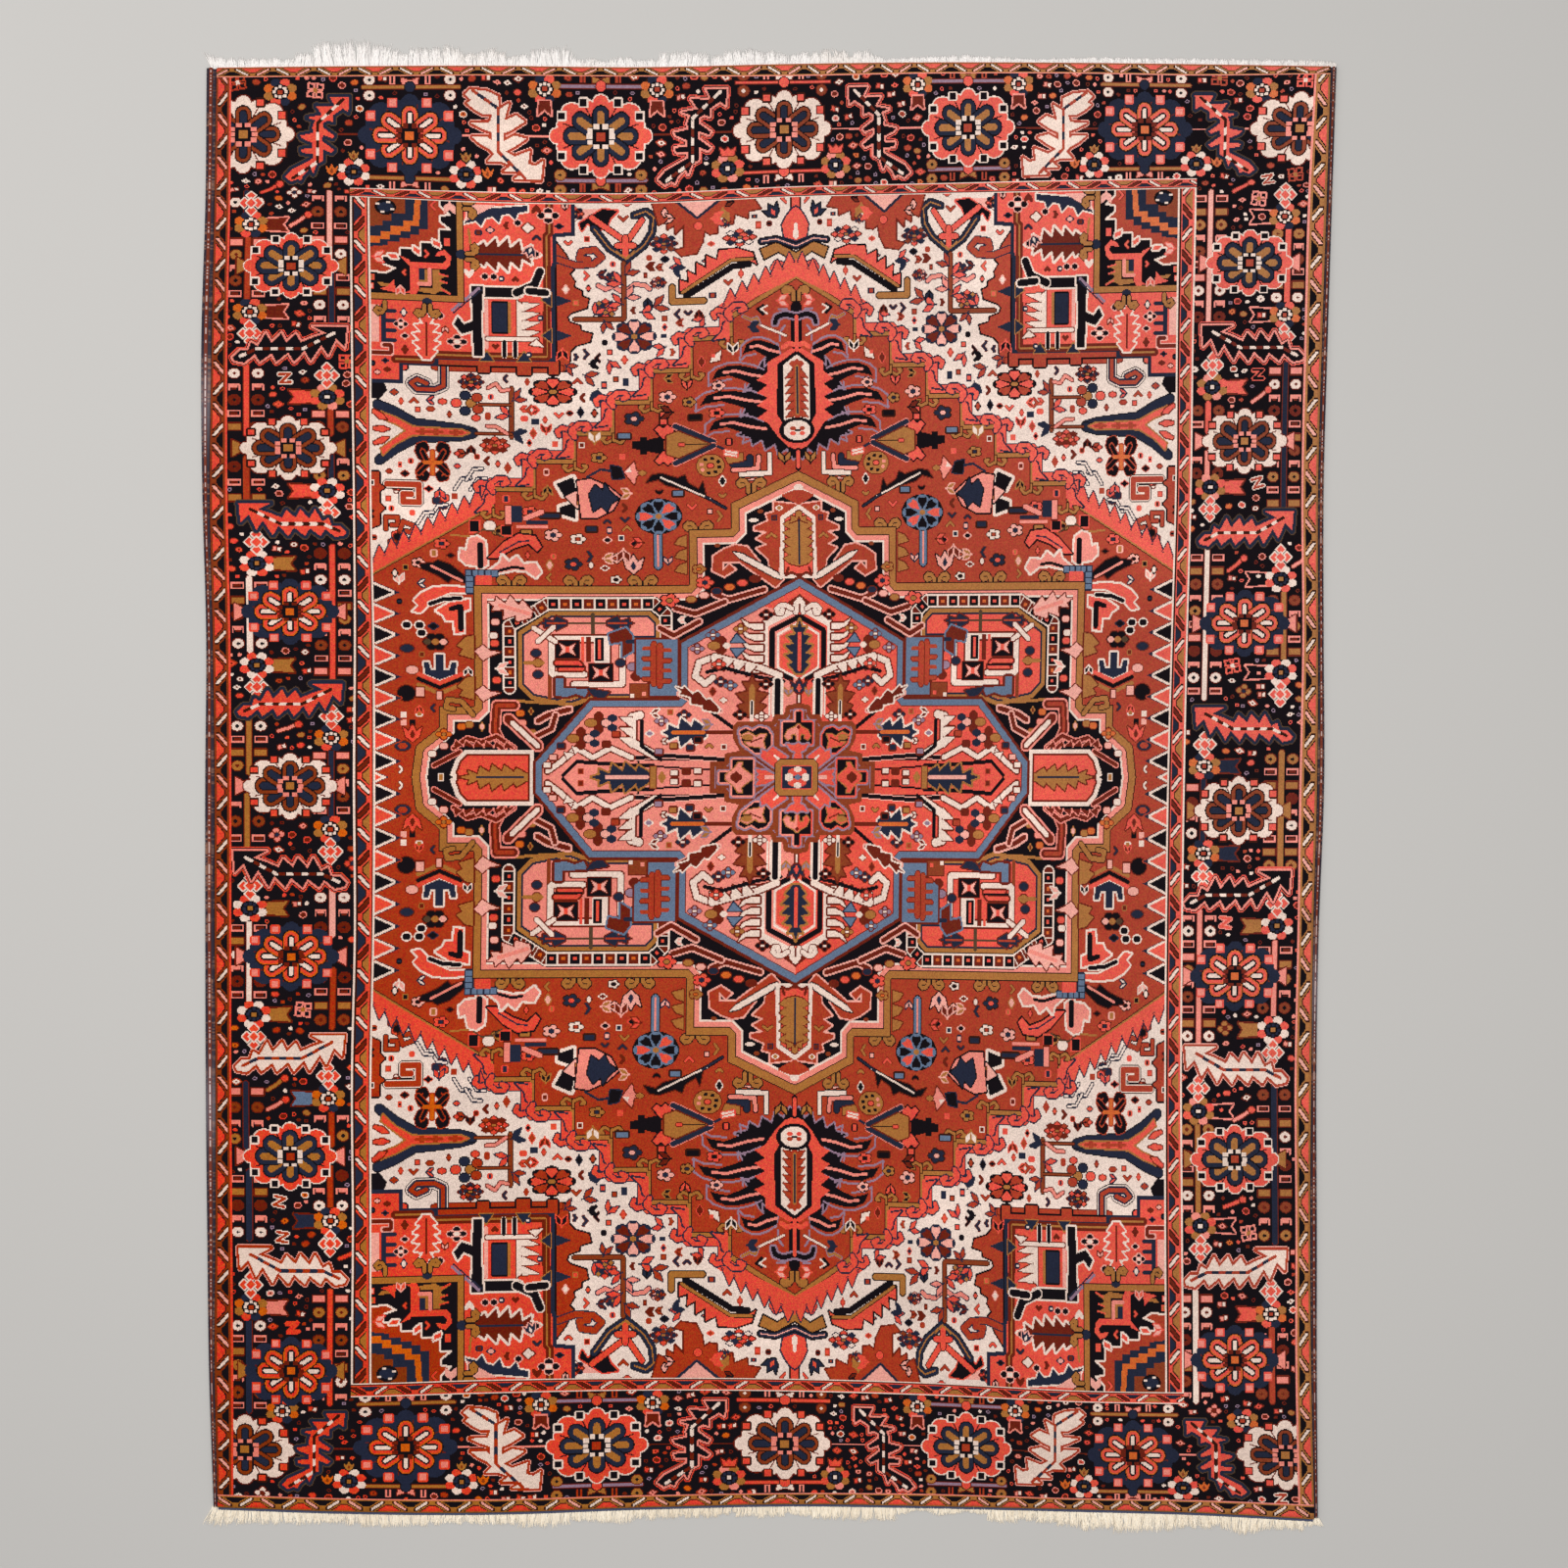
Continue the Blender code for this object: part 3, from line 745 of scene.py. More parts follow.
def tieCoral(pen):
    # the band inside the blue line
    pen.cord("182,-2 182,30 179,33 179,64 178,158 60,158 60,164 24,164", "m8 g1")
    for x, y in ((178, 99), (178, 136)):
        pen.fill("n", [(x + 5, y - 7), (x - 5, y), (x + 5, y + 7)], "g", 0.8)
    for x, y in ((117, 158), (155, 158)):
        pen.fill("n", [(x - 7, y + 5), (x, y - 5), (x + 7, y + 5)], "g", 0.8)
    pen.box("p", 4, 128, 8, 38)
    comb(pen.at(12, 110, 90), 40, -12, 4, "n", "", 5, 4)
    pen.cord("-2,158 20,158 20,150 12,150", "p6 m3")
    blade(pen.at(56, 163, -90), 44, 13, 5, "c", "w", "m")
    blade(pen.at(104, 53), 60, 16, 5, "m", "w", "n", 2.2)
    pen.fill("n", "96,22 100,14 118,6 160,2 160,8 150,10 148,17 142,11 134,12 131,20 125,14 117,16 113,24 "
             "108,19", "w", 1.4)
    pen.fill("p", "96,2 128,2 98,19").line("g", 2.5, "100,28 104,60")
    for x, y, r in rowsOf("181,12,11 87,144,10 30,128,7"):
        blossom(pen.at(x, y), r, "k", "w", "p", 4)
    for x, y in rowsOf("116,76 125,76 168,52 70,118 150,20"):
        pen.dot("k", x, y, 3.4, 2.6, "p", 1.2)
    pen.fill("w", "160,20 167,25 160,30 154,25", "m")
    tulip(pen.at(164, 44, 200), 0.9, "n", "w", "p")
    # the standing beast
    pen.cord("150,92 106,92", "w13 k10").cord("148,92 166,84 172,70", "w11 k8")
    pen.cord("160,90 178,92", "w10 k7")
    pen.fill("k", "102,86 114,86 112,120 113,158 104,158 103,132 92,136 84,126 88,118 94,126 103,122", "w",
             1.8)
    pen.line("p", 3, "117,100 117,150").box("n", 131, 118, 15, 30, "k", 1.5).box("g", 141, 118, 3, 32)
    pen.box("c", 145, 118, 4, 34)
    pen.fill("w", "148,100 154,104 154,138 148,142", "m").saw("154,140 154,102", "w", 9, -17, "m", 0.35)
    pen.cord("118,140 168,140", "m6 w4").fill("w", "168,140 176,148 160,146", "m")
    pen.cord("135,143 135,158", "w5 k3.4").cord("146,143 146,158", "w5 k3.4")
    pen.line("l", 3, "82,112 110,88").line("n", 1.5, "84,114 112,90")
    for x, y in rowsOf("75,84 133,78 75,100 172,118 160,156"):
        pen.box("w", x, y, 3, 2.4, "n", 1.2)


def tieIvory(pen):
    # the serrated band outside the coral part
    pen.fill("r", "189,40 198,52 206,68 202,72 207,80 206,86 214,90 214,95 221,98 219,107 204,112 199,116 "
             "201,122 212,126 213,131 224,134 222,142 208,146 202,152 200,172 189,172", "k", 1.3)
    for y in (100, 136):
        pen.fill("n", [(188, y - 6), (204, y), (188, y + 6)])
    pen.cord("172,62 190,57 208,63 226,62 235,55 228,47 214,49 212,56 221,57", "n8.5 r6")
    pen.cord("192,170 64,170", "m9 r7")
    # the keyhole with its cross
    pen.fill("p", "209,5 234,5 214,17")
    pen.fill("k", "212,20 236,5 252,7 244,15 240,25 228,27 221,19 215,28", "c", 1.2)
    pen.cord("227,25 243,46 260,57 278,43 286,30 288,14 280,8 268,12", "k9 n7 g1.4")
    pen.cord("225,14 257,37", "k7.6 c5.6").cord("276,17 262,37", "k7.6 c5.6").cord("250,43 268,43", "k7 c5")
    pen.cord("259,34 259,53", "k7 c5")
    pen.line("c", 5, "250,43 268,43").line("g", 1.4, "249,48 259,56 269,48")
    # the cloud on the edge
    pen.fill("r", "286,-2 293,22 301,19 302,27 309,23 310,32 319,23 319,47 310,49 316,55 331,53 337,42 "
             "339,30 345,34 352,33 353,22 361,26 368,24 370,14 383,19 384,12 396,10 388,-2", "m", 1.3)
    pen.fill("p", "312,-2 354,-2 332,15", "n", 2.6).dot("c", 333, 25, 4, 4, "m", 0.8)
    for x, y, rx, ry, colours in rowsOf(
            "298,42,14,10,nycn 375,39,17,9,cwcn 238,108,12,10,cgcn 208,10,9,7,ckw 360,22,6,6,rnw "
            "292,82,8,6,rnp 246,76,8,6,nrn"):
        cluster(pen.at(x, y), rx, ry, colours)
    wedges(pen.at(267, 137), 22, "pm")
    wedges(pen.at(184, 194), 24, "cr", "g", "k", 0.62)
    pen.cord("257,92 246,85 238,88 231,84", "n6 s4").cord("259,90 268,83 278,84 283,88", "n6 s4")
    # stems and their leaves
    pen.cord("257,60 257,119 206,119", "d5 y3").cord("142,190 142,242", "d5 y3")
    pen.cord("430,-2 430,18", "d7 c4")
    for x, y, turn, size, colour in rowsOf(
            "257,74,-40,1.5,r 257,84,-150,1.6,c 257,98,-30,1.5,s 257,104,200,1.5,c 236,119,70,1.3,r "
            "272,112,0,1.6,c 284,108,-20,1.7,r 142,204,-30,1.4,r 142,220,200,1.5,c 142,236,20,1.4,n "
            "226,116,-60,1.3,c 318,66,200,1.3,c 350,62,160,1.2,c 306,66,30,1.2,n 340,118,140,1.3,c "
            "240,160,60,1.4,c 214,176,20,1.5,r 300,148,160,1.3,c 196,166,30,1.2,r 230,190,100,1.3,n"):
        leafPair(pen.at(x, y, turn), size, colour)
    # the long saw-edged leaf beside the middle
    pen.fill("c", "314,93 314,80 323,83 322,71 331,76 331,63 341,69 341,56 352,61 354,51 372,50 388,55 "
             "392,67 384,62 366,61", "k", 1.3)
    pen.cord("320,97 368,68 384,67", "k6.5").cord("316,93 366,62 388,61", "k4.6 g3")
    pen.cord("306,87 306,102 338,102", "k8 g5.6")
    pen.fill("g", "396,52 412,46 432,57 432,66 414,55 400,62", "k", 1.3)
    pen.cord("397,44 412,42 432,50", "k8 n5 p1.2")
    pen.fill("c", "422,20 428,12 432,10 432,44 420,40 418,28", "n", 1.4)
    pen.fill("w", "430,28 432,26 432,44 429,40")
    pen.cord("424,70 416,76 408,72 412,66 418,68", "n6.6 c4.4")
    tulip(pen.at(412, 20, -30), 1.2, "n", "c", "k")
    # the keyhole that lies on its side
    pen.cord("6,211 22,217 44,229 66,231 92,234 103,237", "k11 n9")
    pen.cord("103,238 92,241 66,243 44,245 24,256 8,268", "k11 n9")
    pen.fill("c", "10,219 24,224 42,233 92,235 99,237.5 92,240 42,241 24,251 12,262 10,256 30,241 36,237 "
             "26,231 10,225", "g", 1.3)
    for x in (52, 66, 86):
        pen.box("r", x, 237.5, 5, 7.4).line("r", 3, [(x - 6, 237.5), (x + 6, 237.5)])
    for x, y, turn in rowsOf("8,222,30 10,236,0 10,248,-25"):
        pen.at(x, y, turn).fill("c", "-8,-2 2,-3 9,0 2,3 -8,1", "m")
    # the square spiral and the edges under the coral part
    pen.cord("73,160 73,190 64,194 46,194 40,188 46,184 56,188", "k12 i10 n7.4 r4")
    pen.fill("r", "62,162 190,162 190,176 180,176 180,168 162,168 162,177 148,177 148,168 120,168 120,175 "
             "108,175 108,168 62,168", "k", 1.2)
    pen.cord("-2,172 34,172", "k8 c5").cord("0,180 28,180 28,186", "n6")
    pen.saw("4,200 4,182", "k", 8, 14, "c", 0.4).fill("k", "-2,184 12,186 16,196 8,206 -2,204")
    # flowers beside the stem
    for x, y, rx, ry, colours, rim in rowsOf("101,185,13,9,ncnr,k 125,250,15,9,cmcr,m 30,296,9,7,cmcw,m"):
        cluster(pen.at(x, y), rx, ry, colours, rim)
    for x, y, colour in rowsOf("86,207,c 95,199,n 101,207,g 95,215,n 107,201,r 108,213,r"):
        pen.dot(colour, x, y, 5, 4.4, "k")
    pen.cord("142,208 108,208", "d3 y1.6").cord("142,238 106,238", "d3.6 y2")
    pen.cord("118,191 126,186 132,194 140,192", "m5 s3")
    pen.cord("117,230 127,231 138,238", "m5 s3").dot("c", 72, 206, 4, 2.6, "m")
    pen.dot("c", 106, 222, 4, 3, "m").dot("r", 60, 214, 4, 2, "m")
    # a black flower of four hooks, and the red hooks under it
    for x, turn, way in rowsOf("58,-62,1 58,-120,-1 66,62,-1 66,120,1"):
        horn(pen.at(x, 268, turn, way, 1), 1.35, "k", 5, "r")
    pen.cord("48,280 58,270 52,258", "r6 k4").cord("77,280 66,270 73,258", "r6 k4")
    pen.cord("62,258 62,280", "r6 o4").cord("54,269 70,269", "o3.4")
    pen.at(34, 304).cord("-18,-12 14,-12 14,6 -2,6 -2,-2 6,-2", "k9.6 w8 r6")
    for x, y, turn in ((14, 330, 0), (30, 334, 20)):
        pen.at(x, y, turn).cord("0,8 0,-4 12,-4 12,4 6,4", "k6 r4.4")
    for x, y, colour in rowsOf("66,308,n 74,305,c 72,313,n 24,344,c 30,350,n 20,352,r 26,346,k"):
        pen.dot(colour, x, y, 4.4, 3.6, "m")
    pen.fill("r", "-2,280 8,280 8,292 14,296 8,300 8,312 14,317 8,322 8,334 -2,338", "k", 1.2)
    for x, y in rowsOf("84,296 96,286 100,296 60,324 46,332"):
        pen.at(x, y, -30).cord("0,0 12,-6 20,-2", "n4.6 i2")
    # the teeth above the stepped line, and the hooks on its corners
    pen.fill("c", "434,62 352,108 352,120 434,80").saw("430,66 358,108", "c", 15, -11, "n", -0.55, 1.3)
    pen.fill("c", "-2,372 125,296 125,310 -2,384").saw("124,298 0,372", "c", 15, -11, "n", -0.5, 1.3)
    for x, y in rowsOf("366,116 326,140 285,171 246,203 207,235 166,264 124,292"):
        pen.fill("c",
                 [(x - 5, y + 25), (x - 19, y + 27), (x - 10, y + 19), (x - 8, y + 10), (x - 5, y + 8)],
                 "n", 1.5)
        pen.line("c", 3, [(x - 4, y + 27), (x - 4, y)])
        for hook in ((-1, 6, -7, -2, -14, -4, -19, 0, -17, 4), (-5, -1, 3, -8, 11, -8, 14, -4, 9, -2)):
            pen.cord([(x + dx, y + dy) for dx, dy in zip(hook[::2], hook[1::2])], "n7.6 c4.8")
        pen.dot("c", x - 3, y + 1, 4, 4)


def tieStepLine(pen):  # gold feet on the rust side
    for x, y in rowsOf("366,142 325,174 284,206 245,238 206,267 165,296 123,316"):
        for side in (-1, 1):
            foot = [(x, y), (x, y + 6), (x + 8 * side, y + 9), (x + 12 * side, y + 4), (x + 8 * side, y + 3)]
            pen.cord(foot, "d4.6 g2.8")


def feather(pen, length):  # a black flame with a coral heart and a lilac edge, from its root to the left
    size = (length, 1)
    for edge in ("-1.1,7 -1.09,-6 -0.96,-12 -0.75,-15.5 -0.5,-16 -0.25,-13 -0.05,-8",
                 "-1.1,7 -0.95,2.5 -0.66,1", "-0.4,6 -0.42,14 -0.3,11"):
        pen.line("l", 2, np.array(pointsOf(edge)) * size)
    pen.fill("k", np.array(pointsOf("0,-6 -0.25,-10 -0.5,-13 -0.75,-12.5 -0.93,-9 -1.03,1 -0.92,-1 "
                                    "-0.7,-3 -0.42,3 -0.2,9 0,12")) * size)
    pen.line("s", 2.8, np.array(pointsOf("-0.8,-6.5 -0.58,-7.5 -0.3,-3 0,0")) * size)


def tiePalmette(pen):
    pen.cord("402,246 434,268", "l2")
    pen.fill("k", "412,150 396,168 388,184 378,198 380,214 374,226 384,236 371,241 384,244 386,252 "
             "396,246 399,257 409,251 412,262 421,256 427,267 434,262 434,240", "l", 1.4)
    for x, y, length in rowsOf("414,158,36 401,183,54 401,209,66 400,236,57"):
        feather(pen.at(x, y), length)
    pen.fill("c", "434,150 402,168 402,230 411,243 421,254 434,259")
    pen.saw("402,230 402,178", "c", 13, 11, "", -0.1)
    pen.fill("k", "434,155 412,170 411,221 420,236 434,246")
    pen.fill("w", "434,159 418,171 418,227 427,232 434,232")
    pen.fill("r", "434,163 430,167 427,167 424,170 427,174 427,224 434,226")
    pen.saw("427,224 427,176", "r", 8, 7, "m", -0.6, 0.8)
    pen.line("g", 4, "432,173 432,221").line("n", 2, "432,174 432,220")
    for r, colour in ((19, "k"), (14.5, "w")):
        pen.dot(colour, 432, 238, r, r * 0.7)
    pen.dot("r", 427, 236, 3, 2).dot("c", 427, 241, 3, 2).dot("k", 431, 238, 2, 1.5)
    # its stem, with hooks at the top
    horns(pen.at(432, 104), 1.0, "g", 4.4, "k", 3)
    pen.cord("432,112 432,150", "k12").cord("432,122 420,119 412,122 410,128", "l9 k5")
    pen.cord("420,131 415,137 415,146", "l2.4")
    pen.line("l", 2.4, "422,114 414,114").line("c", 4, "432,122 432,156")
    pen.cord("434,152 424,149 418,153", "c5")
    pen.cord("396,130 421,141", "m3.6 w2.2").cord("398,110 393,113 398,118", "k3.4")
    pen.line("w", 1.8, "402,110 396,113 402,118")
    pen.cord("378,120 386,124 392,122 394,128", "l4 g2.4").line("k", 6, "432,259 432,276")
    pen.line("c", 3, "432,259 432,276")
    pen.cord("350,252 362,258", "n3").fill("w", "346,160 355,154 354,164 344,166", "m")
    pen.box("c", 347, 159, 4, 4)


def tieRust(pen):
    # the white-edged flower
    for shape in ("187,289 204,282 208,299 194,301", "190,313 206,308 206,325 190,320"):
        pen.fill("k", shape, "w", 3).fill("k", shape)
    pen.fill("p", "196,302 208,296 222,296 222,314 208,314", "k", 1.4)
    pen.fill("g", "208,300 216,305 208,310", "m")
    pen.fill("s", "208,286 222,284 240,292 252,302 244,316 228,324 212,324", "k", 1.4)
    pen.fill("n", "220,300 226,290 234,296 236,288 242,298 250,304 242,310 238,318 232,312 224,318", "k")
    # hexagon flower and its stem
    pen.cord("289,340 289,374", "k9.6 b7.6 s2").dot("k", 290, 323, 24, 18.6)
    wedges(pen.at(290, 323), 22, "kckkckkc", "g", "b")
    tulip(pen.at(264, 382), 1.5, "p", "n", "k")
    pen.fill("k", "278,288 284,280 294,279 310,284 317,281 320,289 331,296 335,288 338,302 317,296 "
             "298,291 290,285", "m", 0.8)
    pen.cord("293,283 340,305 358,316", "k4 w1.8").line("n", 2, "338,304 358,316")
    pen.fill("k", "264,245 272,245 272,241 279,241 279,244 296,240 296,259 279,256 279,259 272,259 "
             "272,254 264,253", "r")
    for side in (1, -1):
        petal = pen.at(0, 249.5, 0, 1, side)
        petal.fill("c", "287,-16 291,-20 296,-17 300,-21 306,-16 306,-8 296,-6", "k", 1.3)
        petal.cord("308,-19 346,-2", "s7 n5.4")
    pen.fill("g", "299,240 311,236 342,249.5 311,263 299,259", "m", 1.2).line("k", 1, "318,249.5 340,249.5")
    pen.dot("c", 314, 249.5, 3, 2, "m", 0.8)
    pen.cord("218,282 232,274 244,276", "n2.6").fill("k", "242,270 252,272 256,283 244,284", "n")
    pen.fill("s", "256,277 266,266 268,276 276,278 268,281 266,290", "m")
    pen.fill("w", "256,277 262,272 263,277").dot("g", 274, 278, 4, 2.6, "m", 0.8)
    pen.dot("g", 343, 272, 14, 11.5, "m").dot("c", 343, 272, 3, 2.4, "m")
    for x, y in ringOf(8, 9.4, 7.4, 12):
        pen.dot("k" if x > -6 else "s", 343 + x, 272 + y, 2.2, 1.7)
    pen.cord("403,262 403,281 374,282", "k6.6 w4.6").cord("392,264 391,276 366,277", "k6 s4")
    pen.cord("383,265 383,271 366,271", "k8 n6")
    pen.fill("g", "358,263 376,260 376,268 361,270", "m", 0.8)
    pen.at(364, 260, 15).fill("w", "-7,-2 6,-3 7,2 -6,3", "c").line("c", 1, "-6,0 6,0")
    for x, y, r, petal, heart in rowsOf(
            "183,342,9,p,n 208,346,8,w,r 203,372,9,n,c 246,366,7,p,r 300,200,9,p,n 266,222,10,n,p "
            "350,218,8,c,k 322,206,7,g,n 384,290,6,p,r 230,262,8,g,n 160,318,8,c,n 128,338,7,g,k "
            "352,190,7,p,n 70,352,8,c,n 46,372,7,p,k 246,388,6,w,k"):
        blossom(pen.at(x, y), r, petal, heart, "d", 5)
    for x, y, w, h, colour in rowsOf(
            "180,322,20,4,n 310,300,10,5,b 328,222,12,5,k 256,240,12,5,b 156,340,10,5,g 222,336,10,5,n "
            "296,222,6,12,c"):
        pen.box(colour, x, y, w, h, "d", 1.2)
    for x, y in rowsOf("140,398 208,398 273,398 330,343 384,300"):
        horns(pen.at(x, y), 1.05, "g", 4, "k", 3)
    for y in (348, 362, 376):
        pen.fill("g", [(318, y + 7), (306, y + 4), (310, y - 2), (318, y - 5)], "m")
    # the spray at the medallion's shoulder
    for shape, colour, rim, around in (
            ("98,346 106,344 114,349 116,373 107,379 105,374 95,373 88,367 89,357 95,359", "s", "w", 2),
            ("117,366 134,349 148,341 165,343 171,354 167,359 158,351 143,356 126,366", "c", "k", 1.5),
            ("117,380 129,371 131,363 138,370 146,364 152,372 165,371 170,380 165,386 155,379 143,378 "
             "124,382", "s", "w", 2),
            ("48,373 61,372 66,369 78,373 93,385 93,392 80,388 76,392 66,385 57,381 49,378", "k", "m", 0.8),
            ("95,397 93,402 78,402 64,408 47,423 39,422 46,416 41,411 47,404 61,397 78,396", "c", "w", 1.8),
            ("63,421 78,412 97,409 97,419 91,421 91,443 82,444 81,431 73,431 70,425", "c", "w", 2)):
        pen.fill(colour, shape, rim, around)
    pen.line("k", 6, "109,353 109,374").line("n", 1.6, "129,360 148,349 158,348")
    pen.line("k", 3, "124,380 143,375 153,377")
    pen.line("s", 2.4, "59,375 90,390").cord("57,414 71,409 88,408", "w6.4 k4")
    pen.line("k", 5, "78,419 88,416 88,440")
    for i in range(5):
        pen.box("b", 97 + i * 6.5, 382, 5.6, 5.6, "n")
    for i in range(3):
        pen.box("b", 98, 388 + i * 6, 7, 5, "n")
    pen.box("c", 112, 391, 16, 13).box("k", 104, 334, 9, 11, "c", 1.6).dot("w", 119, 333, 6, 5.5, "m")
    pen.box("k", 136, 338, 10, 9, "c")
    pen.box("s", 138, 322, 6, 19, "m").box("n", 147, 321, 11, 17).cord("155,325 172,318", "m7 s5")
    pen.box("n", 167, 329, 22, 4).box("s", 162, 334, 32, 3)
    pen.line("e", 1.5, "104,342 112,337 122,338 132,344").line("g", 2, "80,343 98,344")
    for x, y in rowsOf("33,436 46,436 48,444 34,460"):
        pen.dot("k", x, y, 4, 3.4, "w", 1.6)
    blossom(pen.at(62, 453), 13, "k", "g", "m")
    pen.dot("e", 54, 453, 4, 3).dot("p", 70, 453, 4, 3)
    pen.fill("n", "50,474 55,474 57,482 62,482 62,466 70,466 70,482 76,482 78,474 83,474 82,486 66,492 "
             "51,486", "w", 1.5)
    for y, colour in rowsOf("486,c 491,k 497,g"):
        pen.line(colour, 4, [(44, y), (66, y + 9), (88, y)])
    pen.dot("k", 32, 506, 9, 8, "m").box("p", 46, 505, 8, 9, "m").box("p", 66, 508, 5, 8, "m")
    squares(pen.at(34, 528), 2, 9, 6, "wr")
    squares(pen.at(34, 536), 2, 9, 6, "pk")
    tulip(pen.at(38, 556), 1.4, "c", "m", "m")
    pen.dot("n", 28, 560, 8, 5, "m").dot("r", 28, 560, 5, 3).dot("n", 33, 460, 7, 4, "m")
    pen.dot("p", 38, 482, 6, 4, "m")
    # the zigzag on the field's long edges
    for i in range(10):
        y = 403 + i * 21.6
        pen.fill("n", [(-2, y - 12), (27, y), (-2, y + 12)], "r")
        pen.fill("kc"[i % 2], [(-2, y - 9), (19, y), (-2, y + 9)], "w", 2)


def tieShoulder(pen):  # the medallion's dark ground
    # bricks round the panel, then the panel
    path = "137,500 137,436 152,428 176,413 284,413 296,424 296,450"
    pen.cord(path, "k15 w13.4 m10.8")
    spots = pointsOf(path)
    brickLength = 11.5
    for (x0, y0), (x1, y1) in zip(spots, spots[1:]):
        count = max(round(math.hypot(x1 - x0, y1 - y0) / brickLength), 1)
        for i in range(count):
            t = (i + 0.5) / count
            brick = pen.at(x0 + (x1 - x0) * t, y0 + (y1 - y0) * t, math.degrees(math.atan2(y1 - y0, x1 - x0)))
            brick.box("km"[i % 2], 0, 0, 9.6, 10.4, "w", 0.7).box("co"[i % 2], 0, 0.6, 3.4, 3.6)
    pen.bands(lines["panel"], "g4 n2 s")
    pen.cord("222,424 222,446", "e4").line("e", 2, "190,433 262,433")
    for x, turn in ((196, 180), (236, 0)):
        blade(pen.at(x, 433, turn), 24, 7, 2, "n", "m", "r", 1)
    pen.cord("180,449 236,449 236,486", "m9 w6").cord("180,449 180,486 214,486", "m8 w5")
    pen.cord("202,496 252,496 252,456", "m8 w5")
    pen.box("k", 229, 460, 9, 24, "w", 1.4).box("c", 229, 460, 3, 20).box("m", 218, 460, 5, 26)
    pen.box("c", 212, 460, 3, 26)
    pen.cord("184,474 208,474 212,480 188,481", "m7 c3").line("k", 1.6, "184,478 212,478")
    for x, y in ((196, 460), (230, 484)):
        pen.box("k", x, y, 24, 18, "m")
        pen.fill("p", [(x - 8, y - 6), (x, y - 2), (x + 8, y - 6), (x + 5, y), (x + 8, y + 6), (x, y + 2),
                       (x - 8, y + 6), (x - 5, y)], "m", 0.8)
        pen.box("c", x, y, 4, 6)
    pen.cord("162,438 184,452", "m7 w4.6").cord("182,437 166,452", "m7 w4.6")
    pen.fill("m", "238,444 256,438 262,446 262,462 252,468 252,452 240,454", "b", 1.6)
    pen.line("n", 3, "256,452 276,452 288,460")
    for x, y, colour in rowsOf("164,464,n 166,486,n 166,474,g 250,474,n 262,478,l 266,488,m"):
        pen.dot(colour, x, y, 5, 4, "m")
    pen.line("g", 3, "152,474 172,474").line("g", 3, "140,513 180,516 214,507")
    pen.fill("b", "184,490 192,490 192,500 218,501 214,509 204,506 196,509 184,508", "m", 2.2)
    pen.line("y", 4, "178,489 178,510")
    pen.fill("n", "216,500 240,504 232,512 222,508", "m").box("y", 270, 504, 20, 16, "m")
    pen.box("w", 262, 508, 4, 4).box("s", 274, 506, 4, 4)
    pen.fill("b", "266,450 308,450 308,508 280,508 280,494 266,486", "m", 1.6)
    comb(pen.at(284, 454, 90), 42, 10, 4, "r", "m", 5, 4)
    comb(pen.at(290, 456, 90), 42, -10, 4, "r", "m", 5, 4)
    # leaf and dots on the dark ground
    blade(pen.at(160, 424, 196), 40, 12, 3, "p", "m", "s", 1, 4)
    for x, y, colour in rowsOf(
            "123,432,p 121,446,w 122,454,c 124,492,c 132,515,p 148,526,o 150,536,s 160,546,g 96,538,g "
            "88,540,o 70,560,p 58,568,w"):
        pen.dot(colour, x, y, 4.2, 3.4, "m")
    # hooks that turn out of the blue line
    pen.cord("198,522 176,528 166,534", "p9 m5").cord("184,528 180,542 164,550", "p8 m4.4")
    pen.cord("142,518 124,518 122,544 130,560", "s12 m8.5 r3").cord("136,532 166,560", "s13 m9")
    pen.cord("140,536 166,560", "m7 w5")
    pen.cord("80,562 94,552 108,556 124,550 142,562", "s6.5 m4").saw("142,562 80,560", "m", 10, -6, "s", 0.3)
    pen.cord("60,580 86,566", "s6 m4")
    pen.fill("r", "401,384 379,356 367,354 356,358 345,365 344,380 356,386 367,379 361,374 354,380 "
             "354,371 371,371 401,393 408,398 415,390", "p", 1.4)
    pen.fill("r", "407,311 407,321 399,323 401,330 387,336 387,339 400,341 389,348 400,354 389,358 "
             "401,369 402,380 411,386 415,326 432,314", "p", 1.4)
    pen.fill("r", "432,298 424,300 414,304 420,308 428,312 434,316")
    pen.fill("w", "365,361 374,363 410,383 414,390 407,388 372,368", "k")
    pen.dot("w", 386, 329, 5, 2).dot("y", 393, 320, 3, 2).dot("y", 349, 354, 3, 2).dot("w", 432, 296, 5, 3)
    pen.cord("396,400 360,410 346,404", "p8 m4.6").cord("356,412 326,424 306,418", "p8 m4.6")
    pen.cord("330,432 304,446 290,438", "p8 m4.6")
    for x, y, r, petal, heart, rim, petals in rowsOf("336,392,9,c,n,m,5 330,378,7,g,o,m,5 "
                                                     "300,410,10,c,g,k,5 70,548,8,o,g,m,4"):
        blossom(pen.at(x, y), r, petal, heart, rim, petals)
    for i in range(6):
        pen.dot("gpnocm"[i], 322 + i * 13, 409 - i * 4, 5, 3, "m")
    # the gold leaves in the tips
    pen.bands("434,312 413,326 412,389 434,389", "w4 m1 c")
    pen.fill("g", "434,320 429,321 429,327 424,325 424,330 420,331 421,335 427,336", "m")
    pen.fill("g", "422,334 422,374 434,377 434,330", "m")
    pen.saw("422,374 422,330", "g", 8.8, 6, "m", 0.1).line("n", 2.4, "432,330 432,374")
    pen.cord("434,388 424,383 418,386 421,378", "m3")
    pen.bands("84,594 76,590 82,574 92,564 162,564 162,594", "w4 m2 c")
    blade(pen.at(156, 592, 180), 62, 12, 5, "g", "m", "n", 1.2, 2.4)
